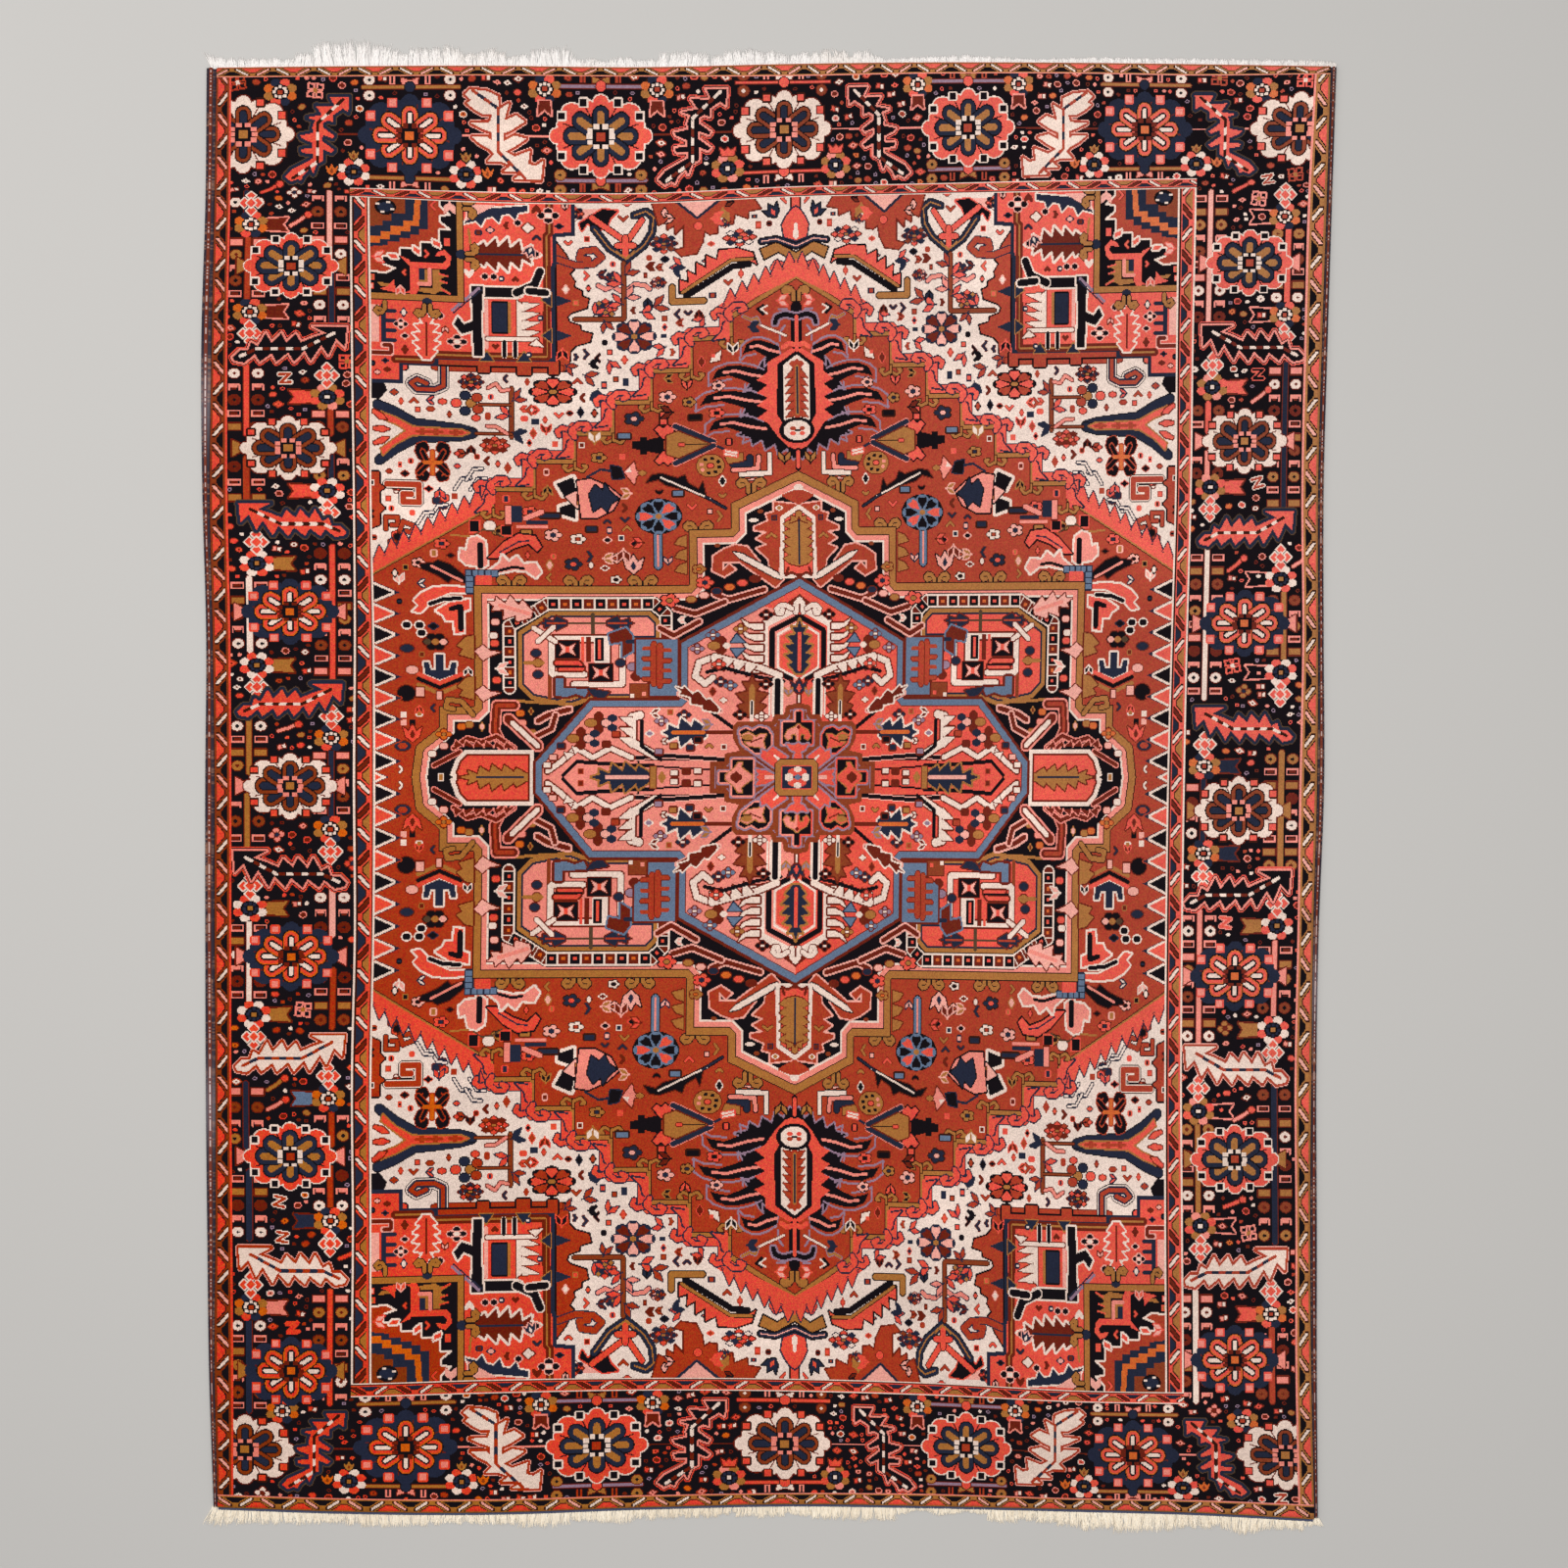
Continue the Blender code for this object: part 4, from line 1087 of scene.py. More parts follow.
    # gold leaves on the medallion's line, and the pink lozenges across it
    for y in (458, 500):
        pen.fill("g", [(101, y - 12), (92, y - 10), (84, y - 1), (90, y + 2), (86, y + 8), (101, y + 12)],
                 "m", 1.2)
        pen.fill("p", [(102, y + 4), (110, y - 2), (118, y + 4), (128, y + 5), (118, y + 9), (110, y + 14)],
                 "m")
    pen.cord("100,528 88,514 74,512 72,520 80,522", "k7 g5")


def tieInner(pen):  # the salmon middle
    # the white comb and the hexagon
    pen.cord("434,408 396,434 396,484 434,486", "m7")
    pen.cord("432,418 396,436 396,482", "w7").line("k", 5, "432,428 404,442 404,482 424,492")
    pen.line("w", 2.5, "432,434 410,446 410,480 432,492")
    horn(pen.at(428, 424), 1.2, "w", 5, "m")
    horn(pen.at(424, 420, -60, -1, 1), 1.1, "w", 4.6, "m")
    for y in (438, 449, 460, 471, 482):
        pen.fill("w", [(395, y + 3), (386, y + 3), (377, y - 1), (373, y - 8), (381, y - 3), (395, y - 3)],
                 "m", 1.3)
    pen.bands("434,436 412,448 412,480 434,492", "c")
    blade(pen.at(432, 486, -90), 48, 14, 5, "n", "g", "c", 1.8, 4)
    # the long white spray
    pen.cord("412,488 392,480 368,474 346,468 330,474 326,488 336,496 344,490", "m9 w6")
    pen.saw("388,479 342,467", "w", 13, 12, "m", 0.1, 1.2)
    pen.line("k", 4, "416,494 392,490 356,480 338,484")
    # columns under the hexagon
    pen.cord("410,494 410,528", "w11 k6").line("w", 2, "402,496 402,528")
    tulip(pen.at(432, 508), 1.3, "n", "c", "m")
    pen.line("m", 5, "432,508 432,520").line("w", 2.5, "432,509 432,519")
    # flowers and leaves
    flower = pen.at(358, 456)
    flower.dot("m", -6, -4, 6, 5).dot("m", -6, 5, 6, 5).dot("g", -13, 1, 6, 4, "m").dot("w", 0, 1, 4, 3)
    flower.fill("b", "4,-2 10,-11 19,-2", "n").fill("b", "4,4 10,13 19,4", "n")
    blade(pen.at(384, 530, -90), 36, 15, 3, "y", "m", "g", 1.3, 5)
    pen.line("w", 3, "384,514 384,542").line("k", 1.4, "384,514 384,528")
    for x, y, petal in rowsOf(
            "352,494,n 362,498,b 398,497,k 372,528,k 328,460,l 344,446,b 398,426,k 372,440,g 350,476,c "
            "394,530,w 315,528,n 292,534,l"):
        blossom(pen.at(x, y), 7, petal, "w", "m", 4)
    blade(pen.at(338, 546, 180), 40, 14, 3, "n", "w", "o", 1.6, 4)
    pen.line("m", 3, "338,546 366,546").line("k", 4, "344,526 366,542")
    pen.cord("310,506 336,520 352,524", "p6 m3")
    blade(pen.at(350, 524, 210), 44, 7, 3, "m", "w", "", 1.3)
    pen.cord("434,590 270,580 268,574 356,574", "k2").cord("266,572 300,570 356,574", "p6 k4")
    # the white antler on the arm
    pen.cord("270,528 262,530 262,556 286,570", "m11 w8").line("k", 4, "272,534 272,560 292,574")
    pen.saw("262,562 262,530", "w", 11, 13, "m", 0.5, 1.2)
    pen.cord("176,586 190,576 206,562 222,572 240,562 262,572", "m8 w5")
    pen.saw("212,562 196,574", "w", 9, -8, "m", 0.3).line("k", 4, "192,590 206,576 262,580 284,580")
    for x, y in ((224, 536), (206, 552)):
        flower = pen.at(x, y)
        flower.dot("m", 4, -6, 5, 6).dot("m", 4, 6, 5, 6).dot("g", -4, 0, 6, 4, "m")
        flower.dot("p", 12, 0, 5, 4, "k").dot("n", 18, -5, 5, 4).dot("n", 18, 5, 5, 4)
    blade(pen.at(282, 592, 180), 54, 14, 4, "n", "g", "p", 1.6, 4)
    pen.box("g", 284, 588, 6, 14, "m")
    for x, y, colour in rowsOf(
            "306,588,w 318,586,m 330,586,w 305,560,g 290,566,l 322,562,n 330,554,k 246,548,r 236,558,m "
            "190,560,n 182,572,p 176,580,w"):
        pen.box(colour, x, y, 7, 5, "m")


def tieHeart(pen):
    pen.fill("y", "434,522 424,524 422,533 411,534 409,540 373,540 370,543 370,551 378,564 363,572 "
             "361,581 348,581 348,594 434,594")
    pen.line("l", 1.8, "374,559 406,582").line("m", 1.4, "384,569 404,584").line("l", 1.6, "388,574 406,587")
    for cell in ("434,525 429,525 429,536 416,536 416,558 434,558",
                 "372,545 378,542 385,545 392,541 400,543 404,549 404,560 396,567 388,567 375,557",
                 "352,594 352,587 365,587 365,574 386,574 386,594"):
        pen.fill("k", cell, "l", 3).fill("k", cell, "s", 1.2)
    # a blossom in each dark cell
    pen.fill("s", "434,536 428,541 421,544 418,550 421,554 425,552 424,549 429,547 431,556 434,557", "g", 0.8)
    pen.fill("m", "434,538 429,541 434,545").dot("g", 381, 550, 7, 4)
    pen.fill("s", "374,549 381,546 389,551 393,548 399,548 396,555 398,563 391,561 382,560 377,556 "
             "384,556 386,553 377,552", "g", 0.8)
    pen.line("m", 1.6, "384,556 394,552").dot("g", 380, 551, 6, 3)
    pen.fill("s", "358,590 367,583 371,577 375,577 374,582 385,590 384,594 358,594", "g", 0.8)
    pen.fill("m", "362,591 369,586 376,591 369,594")
    # coral petals with light bars between the cells
    for petal in ("434,556 428,559 420,558 424,564 429,566 427,574 434,574",
                  "416,578 408,582 394,572 395,564 401,566 406,561 421,571",
                  "409,590 399,585 389,584 392,589 389,594 409,594"):
        pen.fill("c", petal, "l", 1.5)
    pen.line("w", 2.4, "433,564 433,572").line("w", 2.4, "408,570 415,576").line("p", 1.6, "399,591 407,591")
    pen.bands("434,573 414,573 408,579 408,594 434,594", "k1 g6 c1 n")
    for x, y, colour, r in rowsOf("427,587,c,5 432,584,w,4 423,591,w,4 432,592,b,3.4"):
        pen.dot(colour, x, y, r, r * 0.8)


def scatter(quarter, dice, shape, colours, count, size):  # small dots where a ground still shows
    y, x = np.mgrid[:quarter.shape[0], :quarter.shape[1]] + 0.5
    ground, inks = colours[0], colours[1:]
    mask = inside(x, y, pointsOf(shape)) & (quarter == letters.index(ground))
    for _ in range(5):
        mask = shrink(mask, True)
    pen = Pen(quarter)
    for _ in range(count):
        v, u = np.nonzero(mask)
        if len(u) == 0:
            break
        i = dice.integers(len(u))
        r, kind = dice.uniform(*size), dice.integers(4)
        ink, rim = inks[dice.integers(len(inks))], inks[dice.integers(len(inks))]
        place = pen.at(float(u[i]), float(v[i]), 90 * dice.integers(4))
        if kind == 0:
            leafPair(place, r * 0.4, ink, rim)
        elif kind == 1:
            place.fill(ink, [(-r * 1.5, 0), (0, -r), (r * 1.5, 0), (0, r)], rim, 0.8)
        elif kind == 2:
            place.line(ink, 2.2, [(-r * 1.4, -r * 0.6), (0, r * 0.7), (r * 1.4, -r * 0.6)],
                       "m" if ground != "m" else "w", 0.7)
        else:
            place.box(ink, 0, 0, r * 1.6, r * 1.4, rim, 0.9)
        mask[max(v[i] - 8, 0):v[i] + 9, max(u[i] - 9, 0):u[i] + 10] = False


def tieField(chart):
    dice = np.random.default_rng(seeds["field"])
    quarter = np.full((knots["halfEnd"], knots["half"]), letters.index("r"))
    pen = Pen(quarter)
    pen.bands(lines["spandrel"], "k1 g4 k1 c8 n1 i")
    tieIvory(pen)
    pen.bands(lines["coralPart"], "n4 c")
    tieCoral(pen)
    pen.bands(lines["cornerPart"], "k1 g6 k")
    pen.bands(lines["cornerStep"], "w2 r")
    tieCorner(pen)
    tieStepLine(pen)
    tiePalmette(pen)
    tieRust(pen)
    pen.bands(lines["medallion"], "k1 g7 k1 s5 w2 k")
    tieShoulder(pen)
    pen.bands(lines["inner"], "m3 b6 m1 s")
    tieInner(pen)
    pen.bands(lines["heart"], "y5 l2 k")
    tieHeart(pen)
    for part, colours, count, size in fillers:
        scatter(quarter, dice, lines[part], colours, count, size)
    upper, lower = slice(rowsAt[3], rowsAt[4]), slice(rowsAt[4], rowsAt[5])
    leftHalf, rightHalf = chart[upper, columnsAt[3]:columnsAt[4]], chart[upper, columnsAt[4]:columnsAt[5]]
    leftHalf[:], rightHalf[:] = quarter, quarter[:, ::-1]
    # to the right of the middle the medallion's salmon ground turns coral, and so does its upper tip
    y, x = np.mgrid[:quarter.shape[0], :quarter.shape[1]] + 0.5
    salmon = inside(x, y, pointsOf(lines["inner"])) & (quarter == letters.index("s"))
    panel = inside(x, y, pointsOf(lines["panel"])) & (quarter == letters.index("s"))
    rightHalf[(salmon | panel)[:, ::-1]] = letters.index("c")
    chart[lower, columnsAt[3]:columnsAt[5]] = chart[upper, columnsAt[3]:columnsAt[5]][::-1]
    tip = salmon & (y < 428 - 0.3 * (432 - x))
    for half in (leftHalf, rightHalf[:, ::-1]):
        half[tip] = letters.index("c")


def drawChart():
    dice = np.random.default_rng(seeds["borders"])
    chart = np.full((knotsDown, knotsAcross), letters.index("k"))
    tieBorders(chart, dice)
    tieField(chart)
    tieGuards(chart)
    print("chart drawn", chart.shape)
    return chart


chart = drawChart()


# A Wire is one socket that takes part in Python sums.
class Wire:
    def __init__(self, look, socket):
        self.look, self.socket = look, socket

    def sum(self, operation, *terms):
        return self.look.node("ShaderNodeMath", dict(operation=operation), terms)

    def __add__(self, other):
        return self.sum("ADD", self, other)

    def __radd__(self, other):
        return self.sum("ADD", other, self)

    def __sub__(self, other):
        return self.sum("SUBTRACT", self, other)

    def __rsub__(self, other):
        return self.sum("SUBTRACT", other, self)

    def __mul__(self, other):
        return self.sum("MULTIPLY", self, other)

    def __rmul__(self, other):
        return self.sum("MULTIPLY", other, self)

    def __pow__(self, other):
        return self.sum("POWER", self, other)

    def __abs__(self):
        return self.sum("ABSOLUTE", self)

    def __ge__(self, other):  # 1 where self is at least other
        return self.sum("GREATER_THAN", self, other - 1e-6)

    def part(self, name):  # another output of the same node
        return Wire(self.look, self.socket.node.outputs[name])


class Look:  # one material and the one method that adds nodes to it
    def __init__(self, name, **constants):
        self.material = bpy.data.materials.new(name)
        self.material.use_nodes = True
        self.tree = self.material.node_tree
        self.shader = self.tree.nodes["Principled BSDF"]
        for socket, value in constants.items():
            self.shader.inputs[socket.replace("_", " ")].default_value = value

    def node(self, kind, settings=None, inputs=(), output=0):
        node = self.tree.nodes.new(kind)
        for name, value in (settings or {}).items():
            if name == "stops":  # a ramp of flat steps
                ramp = node.color_ramp
                ramp.interpolation = "CONSTANT"
                while len(ramp.elements) < len(value):
                    ramp.elements.new(1)
                for element, (at, colour) in zip(ramp.elements, value):
                    element.position, element.color = at, (*colour, 1)
            else:
                setattr(node, name, value)
        for key, value in inputs.items() if isinstance(inputs, dict) else enumerate(inputs):
            if isinstance(value, Wire):
                self.tree.links.new(value.socket, node.inputs[key])
            else:
                node.inputs[key].default_value = value
        return Wire(self, node.outputs[output])

    def place(self):
        return self.node("ShaderNodeTexCoord", output="Object")

    def stored(self, name, output="Fac"):  # a value that the mesh keeps
        return self.node("ShaderNodeAttribute", dict(attribute_name=name), output=output)

    def mix(self, amount, low, high):  # colours
        low, high = [value if isinstance(value, Wire) else (*value, 1) for value in (low, high)]
        return self.node("ShaderNodeMix", dict(data_type="RGBA"), {0: amount, 6: low, 7: high}, 2)

    def dyed(self, colour, value=1.0, saturation=1.0, hue=0.5):
        return self.node("ShaderNodeHueSaturation",
                         inputs=dict(Hue=hue, Saturation=saturation, Value=value, Fac=1.0, Color=colour))

    def spread(self, value, low, high, to=(0.0, 1.0)):
        return self.node("ShaderNodeMapRange", inputs={0: value, 1: low, 2: high, 3: to[0], 4: to[1]})

    def noise(self, place, scale, detail=3.0, rough=0.55):
        return self.node("ShaderNodeTexNoise",
                         inputs=dict(Vector=place, Scale=scale, Detail=detail, Roughness=rough))

    def stretched(self, place, scale):
        return self.node("ShaderNodeVectorMath", dict(operation="MULTIPLY"), (place, scale))

    def bump(self, strength, depth, height):
        return self.node("ShaderNodeBump", inputs=dict(Strength=strength, Distance=depth, Height=height))

    def finish(self, **links):
        for socket, wire in links.items():
            self.tree.links.new(wire.socket, self.shader.inputs[socket.replace("_", " ")])
        return self.material


def linear(text):  # "rrggbb" as seen, to light
    return tuple((int(text[i:i + 2], 16) / 255) ** 2.2 for i in (0, 2, 4))


pileLook = dict(
    jitter=0.34, hueJitter=0.016,  # from knot to knot
    bands=(0.5, 9.0, 1.0), bandTone=0.36,  # where one lot of dye ends and the next begins
    fibres=(1.0, 0.6, 1.0), fibreScale=900.0, fibreTone=0.3, fibreRough=0.12,
    # painted shade towards the left side and the lower end: how fast it grows across and down, how much darker
    # and how much warmer it makes the pile
    patchScale=2.3, worn=0.2, shadeAcross=0.24, shadeDown=0.14, shadeDarkening=0.12, brightness=1.03,
    saturation=0.945, shadeWarmth=0.115, knotShade=0.28, bump=0.7, bumpDepth=0.0006, sheen=0.015, roughness=0.9)


def pileMaterial():
    size = pileLook
    look = Look("pile_wool", Sheen_Weight=size["sheen"], Sheen_Roughness=0.5, Specular_IOR_Level=0.1)
    split = look.node("ShaderNodeSeparateXYZ", inputs=(look.node("ShaderNodeUVMap", dict(uv_map="knots")),))
    u, v = split * 4, split.part("Y") * 4
    cellU, cellV = split.sum("FRACT", split) * 4, split.sum("FRACT", split.part("Y")) * 4

    def chosen(values, cell):  # the value of the knot's own place among four
        found = values[0]
        for low, high, step in zip(values, values[1:], [cell >= n for n in (1, 2, 3)]):
            found = found + (high - low) * step
        return found

    rows = []
    for n in range(4):
        store = look.stored(f"row{n}", "Color")
        parts = look.node("ShaderNodeSeparateColor", inputs=(store,))
        rows.append(chosen([parts, parts.part("Green"), parts.part("Blue"), store.part("Alpha")], cellU))
    stops = [(i / len(wool), linear(shade)) for i, shade in enumerate(wool.values())]
    colour = look.node("ShaderNodeValToRGB", dict(stops=stops), (chosen(rows, cellV),))

    knot = look.node("ShaderNodeCombineXYZ", inputs=(u.sum("FLOOR", u), v.sum("FLOOR", v), 0))
    chance = look.node("ShaderNodeTexWhiteNoise", dict(noise_dimensions="2D"), dict(Vector=knot))
    place = look.place()
    bands = look.noise(look.stretched(place, size["bands"]), 1.0)
    patches = look.noise(place, size["patchScale"], 4.0, 0.6)
    fibre = look.noise(look.stretched(place, size["fibres"]), size["fibreScale"], 2.0)
    tone = 1 + (chance - 0.5) * size["jitter"] + (bands - 0.5) * size["bandTone"]
    tone = tone + (fibre - 0.5) * size["fibreTone"]
    hue = 0.5 + (chance.part("Color").sum("FRACT", chance * 7.3) - 0.5) * size["hueJitter"]
    colour = look.dyed(colour, tone, hue=hue)
    # painted shade: the colours are painted darker and warmer towards the left side and the lower end, as if
    # the light there were dimmer and warmer; they also fade a little in worn patches
    across = look.node("ShaderNodeSeparateXYZ", inputs=(place,))
    lowerLeft = 0.5 - across * size["shadeAcross"] - across.part("Y") * size["shadeDown"]
    paintedShade = look.spread(lowerLeft, 0.0, 1.0)
    worn = look.spread(patches, 0.5, 0.75, (1.0, 1 + size["worn"]))
    colour = look.dyed(colour, worn * (size["brightness"] - paintedShade * size["shadeDarkening"]),
                       size["saturation"] + paintedShade * size["shadeWarmth"])

    edgeU, edgeV = abs(u.sum("FRACT", u) - 0.5) * 2, abs(v.sum("FRACT", v) - 0.5) * 2
    dome = (1 - edgeU ** 3) * (1 - edgeV ** 3)
    colour = look.dyed(colour, 1 - size["knotShade"] * (1 - dome))
    bump = look.bump(size["bump"], size["bumpDepth"], dome + (fibre - 0.5) * 0.9 + (chance - 0.5) * 0.5)
    rough = size["roughness"] + (fibre - 0.5) * size["fibreRough"]
    return look.finish(Base_Color=colour, Roughness=rough, Normal=bump)


clear = 0.0001  # nothing dips below this height over the floor


def meshPiece(name, spots, quads, material, replaced, smooth=True):
    mesh = bpy.data.meshes.new(name)
    mesh.vertices.add(len(spots))
    mesh.vertices.foreach_set("co", np.asarray(spots, np.float32).ravel())
    mesh.loops.add(quads.size)
    mesh.loops.foreach_set("vertex_index", quads.ravel().astype(np.int32))
    mesh.polygons.add(len(quads))
    mesh.polygons.foreach_set("loop_start", np.arange(0, quads.size, 4, dtype=np.int32))
    mesh.polygons.foreach_set("loop_total", np.full(len(quads), 4, np.int32))
    mesh.polygons.foreach_set("use_smooth", np.full(len(quads), smooth))
    mesh.update(calc_edges=True)
    mesh.validate()
    mesh.materials.append(material)
    piece = bpy.data.objects.new(name, mesh)
    bpy.context.scene.collection.objects.link(piece)
    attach(piece, "root")
    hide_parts(replaced)
    return piece


def gridQuads(index):  # the quads between a grid's corner numbers
    return np.stack([index[1:, :-1], index[1:, 1:], index[:-1, 1:], index[:-1, :-1]], -1).reshape(-1, 4)


def keepOnPoints(piece, name, values):
    store = piece.data.attributes.new(name, "FLOAT", "POINT")
    store.data.foreach_set("value", values.astype(np.float32))


def keepOnCorners(piece, name, places, quads):
    layer = piece.data.uv_layers.new(name=name)
    layer.uv.foreach_set("vector", places[quads.ravel()].astype(np.float32).ravel())


def metresOf(u, v):  # knots to metres on the floor
    return planOf(*pixelOf(u, v))


pile = dict(top=0.0094, highest=0.0101, unevenness=0.00035, ripple=0.0003, base=0.0036, seed=11,
            tilesAcross=3, tilesDown=4, patch=4)  # each quad of the mesh carries four by four knots


def makePile():
    material = pileMaterial()
    patch = pile["patch"]
    columns, rows = knotsAcross // patch, knotsDown // patch
    u, v = np.meshgrid(np.arange(columns + 1), np.arange(rows + 1))
    x, y = metresOf(u * float(patch), v * float(patch))
    z = pile["top"] + np.random.default_rng(pile["seed"]).uniform(-1, 1, x.shape) * pile["unevenness"]
    z += pile["ripple"] * np.sin(x * 9 + np.sin(y * 5)) * np.sin(y * 7 + np.cos(x * 4))
    z = np.minimum(z, pile["highest"])
    code = (chart.reshape(rows, patch, columns, patch).transpose(1, 0, 2, 3) + 0.5) / len(wool)
    tiles = []
    rowCuts = np.linspace(0, rows, pile["tilesDown"] + 1).round().astype(int)
    columnCuts = np.linspace(0, columns, pile["tilesAcross"] + 1).round().astype(int)
    for down, (r0, r1) in enumerate(zip(rowCuts, rowCuts[1:])):
        for across, (c0, c1) in enumerate(zip(columnCuts, columnCuts[1:])):
            part = np.s_[r0:r1 + 1, c0:c1 + 1]
            spots = np.stack([x[part], y[part], z[part]], -1).reshape(-1, 3)
            index = np.arange(len(spots)).reshape(r1 - r0 + 1, c1 - c0 + 1)
            quads = gridQuads(index)
            faceCode = code[:, r0:r1, c0:c1].reshape(patch, -1, patch)
            rims = [index[:, 0]] * (c0 == 0) + [index[::-1, -1]] * (c1 == columns)
            rims += [index[0, ::-1]] * (r0 == 0) + [index[-1]] * (r1 == rows)
            knotSpots = np.stack([u[part], v[part]], -1).reshape(-1, 2)
            for rim in rims:  # the pile's own edge, down to the foundation
                lowIndex = len(spots) + np.arange(len(rim))
                skirt = np.stack([rim[:-1], lowIndex[:-1], lowIndex[1:], rim[1:]], -1)
                spots = np.vstack([spots, spots[rim] * (1, 1, 0) + (0, 0, pile["base"])])
                quads = np.vstack([quads, skirt])
                knotSpots = np.vstack([knotSpots, knotSpots[rim]])
                faceCode = np.concatenate([faceCode, np.full((patch, len(skirt), patch), 0.5 / len(wool))], 1)
            tile = meshPiece(f"pile_{down + 1}_{across + 1}", spots, quads, material, "rug_body")
            keepOnCorners(tile, "knots", knotSpots, quads)
            for n in range(patch):
                store = tile.data.attributes.new(f"row{n}", "FLOAT_COLOR", "FACE")
                store.data.foreach_set("color", faceCode[n].astype(np.float32).ravel())
            tiles.append(tile)
    print("pile tied:", len(tiles), "tiles of", rows * columns, "patches")
    return tiles


pileTiles = makePile()

# The woven foundation under the pile, with its flat size.
foundationSheet = dict(thickness=0.0034, inset=2.0, across=60, along=78, width=3.00, length=3.88,
                       weftScale=55.0, warpScale=70.0, unevenThreads=0.6)


def foundationMaterial():
    size = foundationSheet
    look = Look("foundation_weave", Roughness=0.9, Specular_IOR_Level=0.2)
    place = look.place()
    weft, warp = [look.node("ShaderNodeTexWave", dict(bands_direction=way),
                            dict(Vector=place, Scale=scale, Distortion=size["unevenThreads"]))
                  for way, scale in (("Y", size["weftScale"]), ("X", size["warpScale"]))]
    colour = look.mix(weft * 0.4 + look.noise(place, 6.0) * 0.5, linear("b79d84"), linear("7d4a3a"))
    return look.finish(Base_Color=colour, Normal=look.bump(0.6, 0.0005, weft * warp))


def makeFoundation():
    size = foundationSheet
    u = np.linspace(size["inset"], knotsAcross - size["inset"], size["across"] + 1)
    v = np.linspace(size["inset"], knotsDown - size["inset"], size["along"] + 1)
    x, y = metresOf(*np.meshgrid(u, v))
    top = np.stack([x, y, np.full(x.shape, size["thickness"])], -1).reshape(-1, 3)
    index = np.arange(len(top)).reshape(x.shape)
    quads = gridQuads(index)
    faces = [quads, quads[:, ::-1] + len(top)]  # the top and the underside, then the four rims
    for rim in (index[:, 0], index[::-1, -1], index[0, ::-1], index[-1]):
        faces.append(np.stack([rim[:-1], rim[:-1] + len(top), rim[1:] + len(top), rim[1:]], -1))
    sheet = meshPiece("foundation", np.vstack([top, top * (1, 1, 0)]), np.vstack(faces), foundationMaterial(),
                      "rug_body", smooth=False)
    print("foundation woven")
    return sheet


foundation = makeFoundation()

# The overcast selvedges, three cords on each side. Their outer edges are in photo pixels at stationY.
selvedge = dict(
    left=(210.5, 209.3, 205, 206, 210, 209, 209, 209.5, 211, 213, 217.7),
    right=(1364, 1359.7, 1355, 1351, 1351, 1351.5, 1346, 1343.5, 1344, 1344, 1345),
    cords=((0.0, 0.42, 0), (0.36, 0.78, 1), (0.72, 1.0, 0)),  # from and to across the selvedge, 1 for maroon
    rubbed=dict(left=(412, 1128), right=(1010,)), rubbedSpread=38,  # where the wraps have worn off the warps
    length=3.9, wrap=0.0042, ringsPerWrap=2, sides=10, height=0.0078, groove=0.10, slant=0.5,
    uneven=(0.96, 1.03), overlap=1.02, navyHeight=0.94, seed=dict(left=21, right=22))


def selvedgeMaterial():
    look = Look("selvedge_wool", Sheen_Weight=0.08, Sheen_Roughness=0.5, Specular_IOR_Level=0.2)
    place = look.place()
    along = look.node("ShaderNodeSeparateXYZ", inputs=(look.node("ShaderNodeUVMap", dict(uv_map="wraps")),))
    offTop = abs(along.part("Y") - 0.25)
    rubbed, middleCord = look.stored("rubbed"), look.stored("maroon")
    dye = look.noise(look.stretched(place, (0.6, 5.0, 1.0)), 1.4)
    wear = look.noise(look.stretched(place, (9.0, 1.0, 1.0)), 6.0, 4.0, 0.65)
    fibre = look.noise(look.stretched(place, (1.0, 2.6, 1.0)), 620.0, 2.0)
    wrap = along.sum("FLOOR", along)
    strand = look.node("ShaderNodeTexWhiteNoise", dict(noise_dimensions="1D"), dict(W=wrap))
    navy = look.mix(fibre, linear("1a1620"), linear("3c333f"))
    maroon = look.mix(fibre, linear("40140d"), linear("8a3e28"))
    colour = look.mix(look.spread(middleCord + (dye - 0.5) * 1.4, 0.35, 0.65), navy, maroon)
    worn = look.spread(wear + (strand - 0.5) * 0.25, 0.52, 0.72)
    colour = look.mix(worn * 0.6, colour, linear("a3725a"))
    colour = look.mix(rubbed * 0.35, colour, linear("8f8489"))
    # warps show as light points on the middle cord's wraps
    bare = ((strand + rubbed * 0.4) >= 0.62) * (1 - (offTop >= 0.055))
    colour = look.mix(bare * middleCord * (0.5 + rubbed * 0.3), colour, linear("d6c8c4"))
    return look.finish(Base_Color=colour, Roughness=0.84 + (fibre - 0.5) * 0.14,
                       Normal=look.bump(0.6, 0.0006, fibre + strand * 0.4))


def tube(centre, sideways, upward, sides):  # rings round a path, with half widths sideways and upward
    turns = np.arange(sides) * 2 * math.pi / sides
    heading = np.gradient(centre, axis=0)
    heading /= np.linalg.norm(heading, axis=1)[:, None]
    out = np.stack([heading[:, 1], -heading[:, 0], np.zeros(len(centre))], -1)
    spots = (centre[:, None] + out[:, None] * (np.cos(turns)[None, :, None] * sideways[:, None, None])
             + np.array([0, 0, 1]) * (np.sin(turns)[None, :, None] * upward[:, None, None]))
    spots[..., 2] = np.maximum(spots[..., 2], clear)
    index = np.arange(len(centre) * sides).reshape(-1, sides)
    after = np.roll(index, -1, 1)
    return spots.reshape(-1, 3), np.stack([index[:-1], after[:-1], after[1:], index[1:]], -1).reshape(-1, 4)


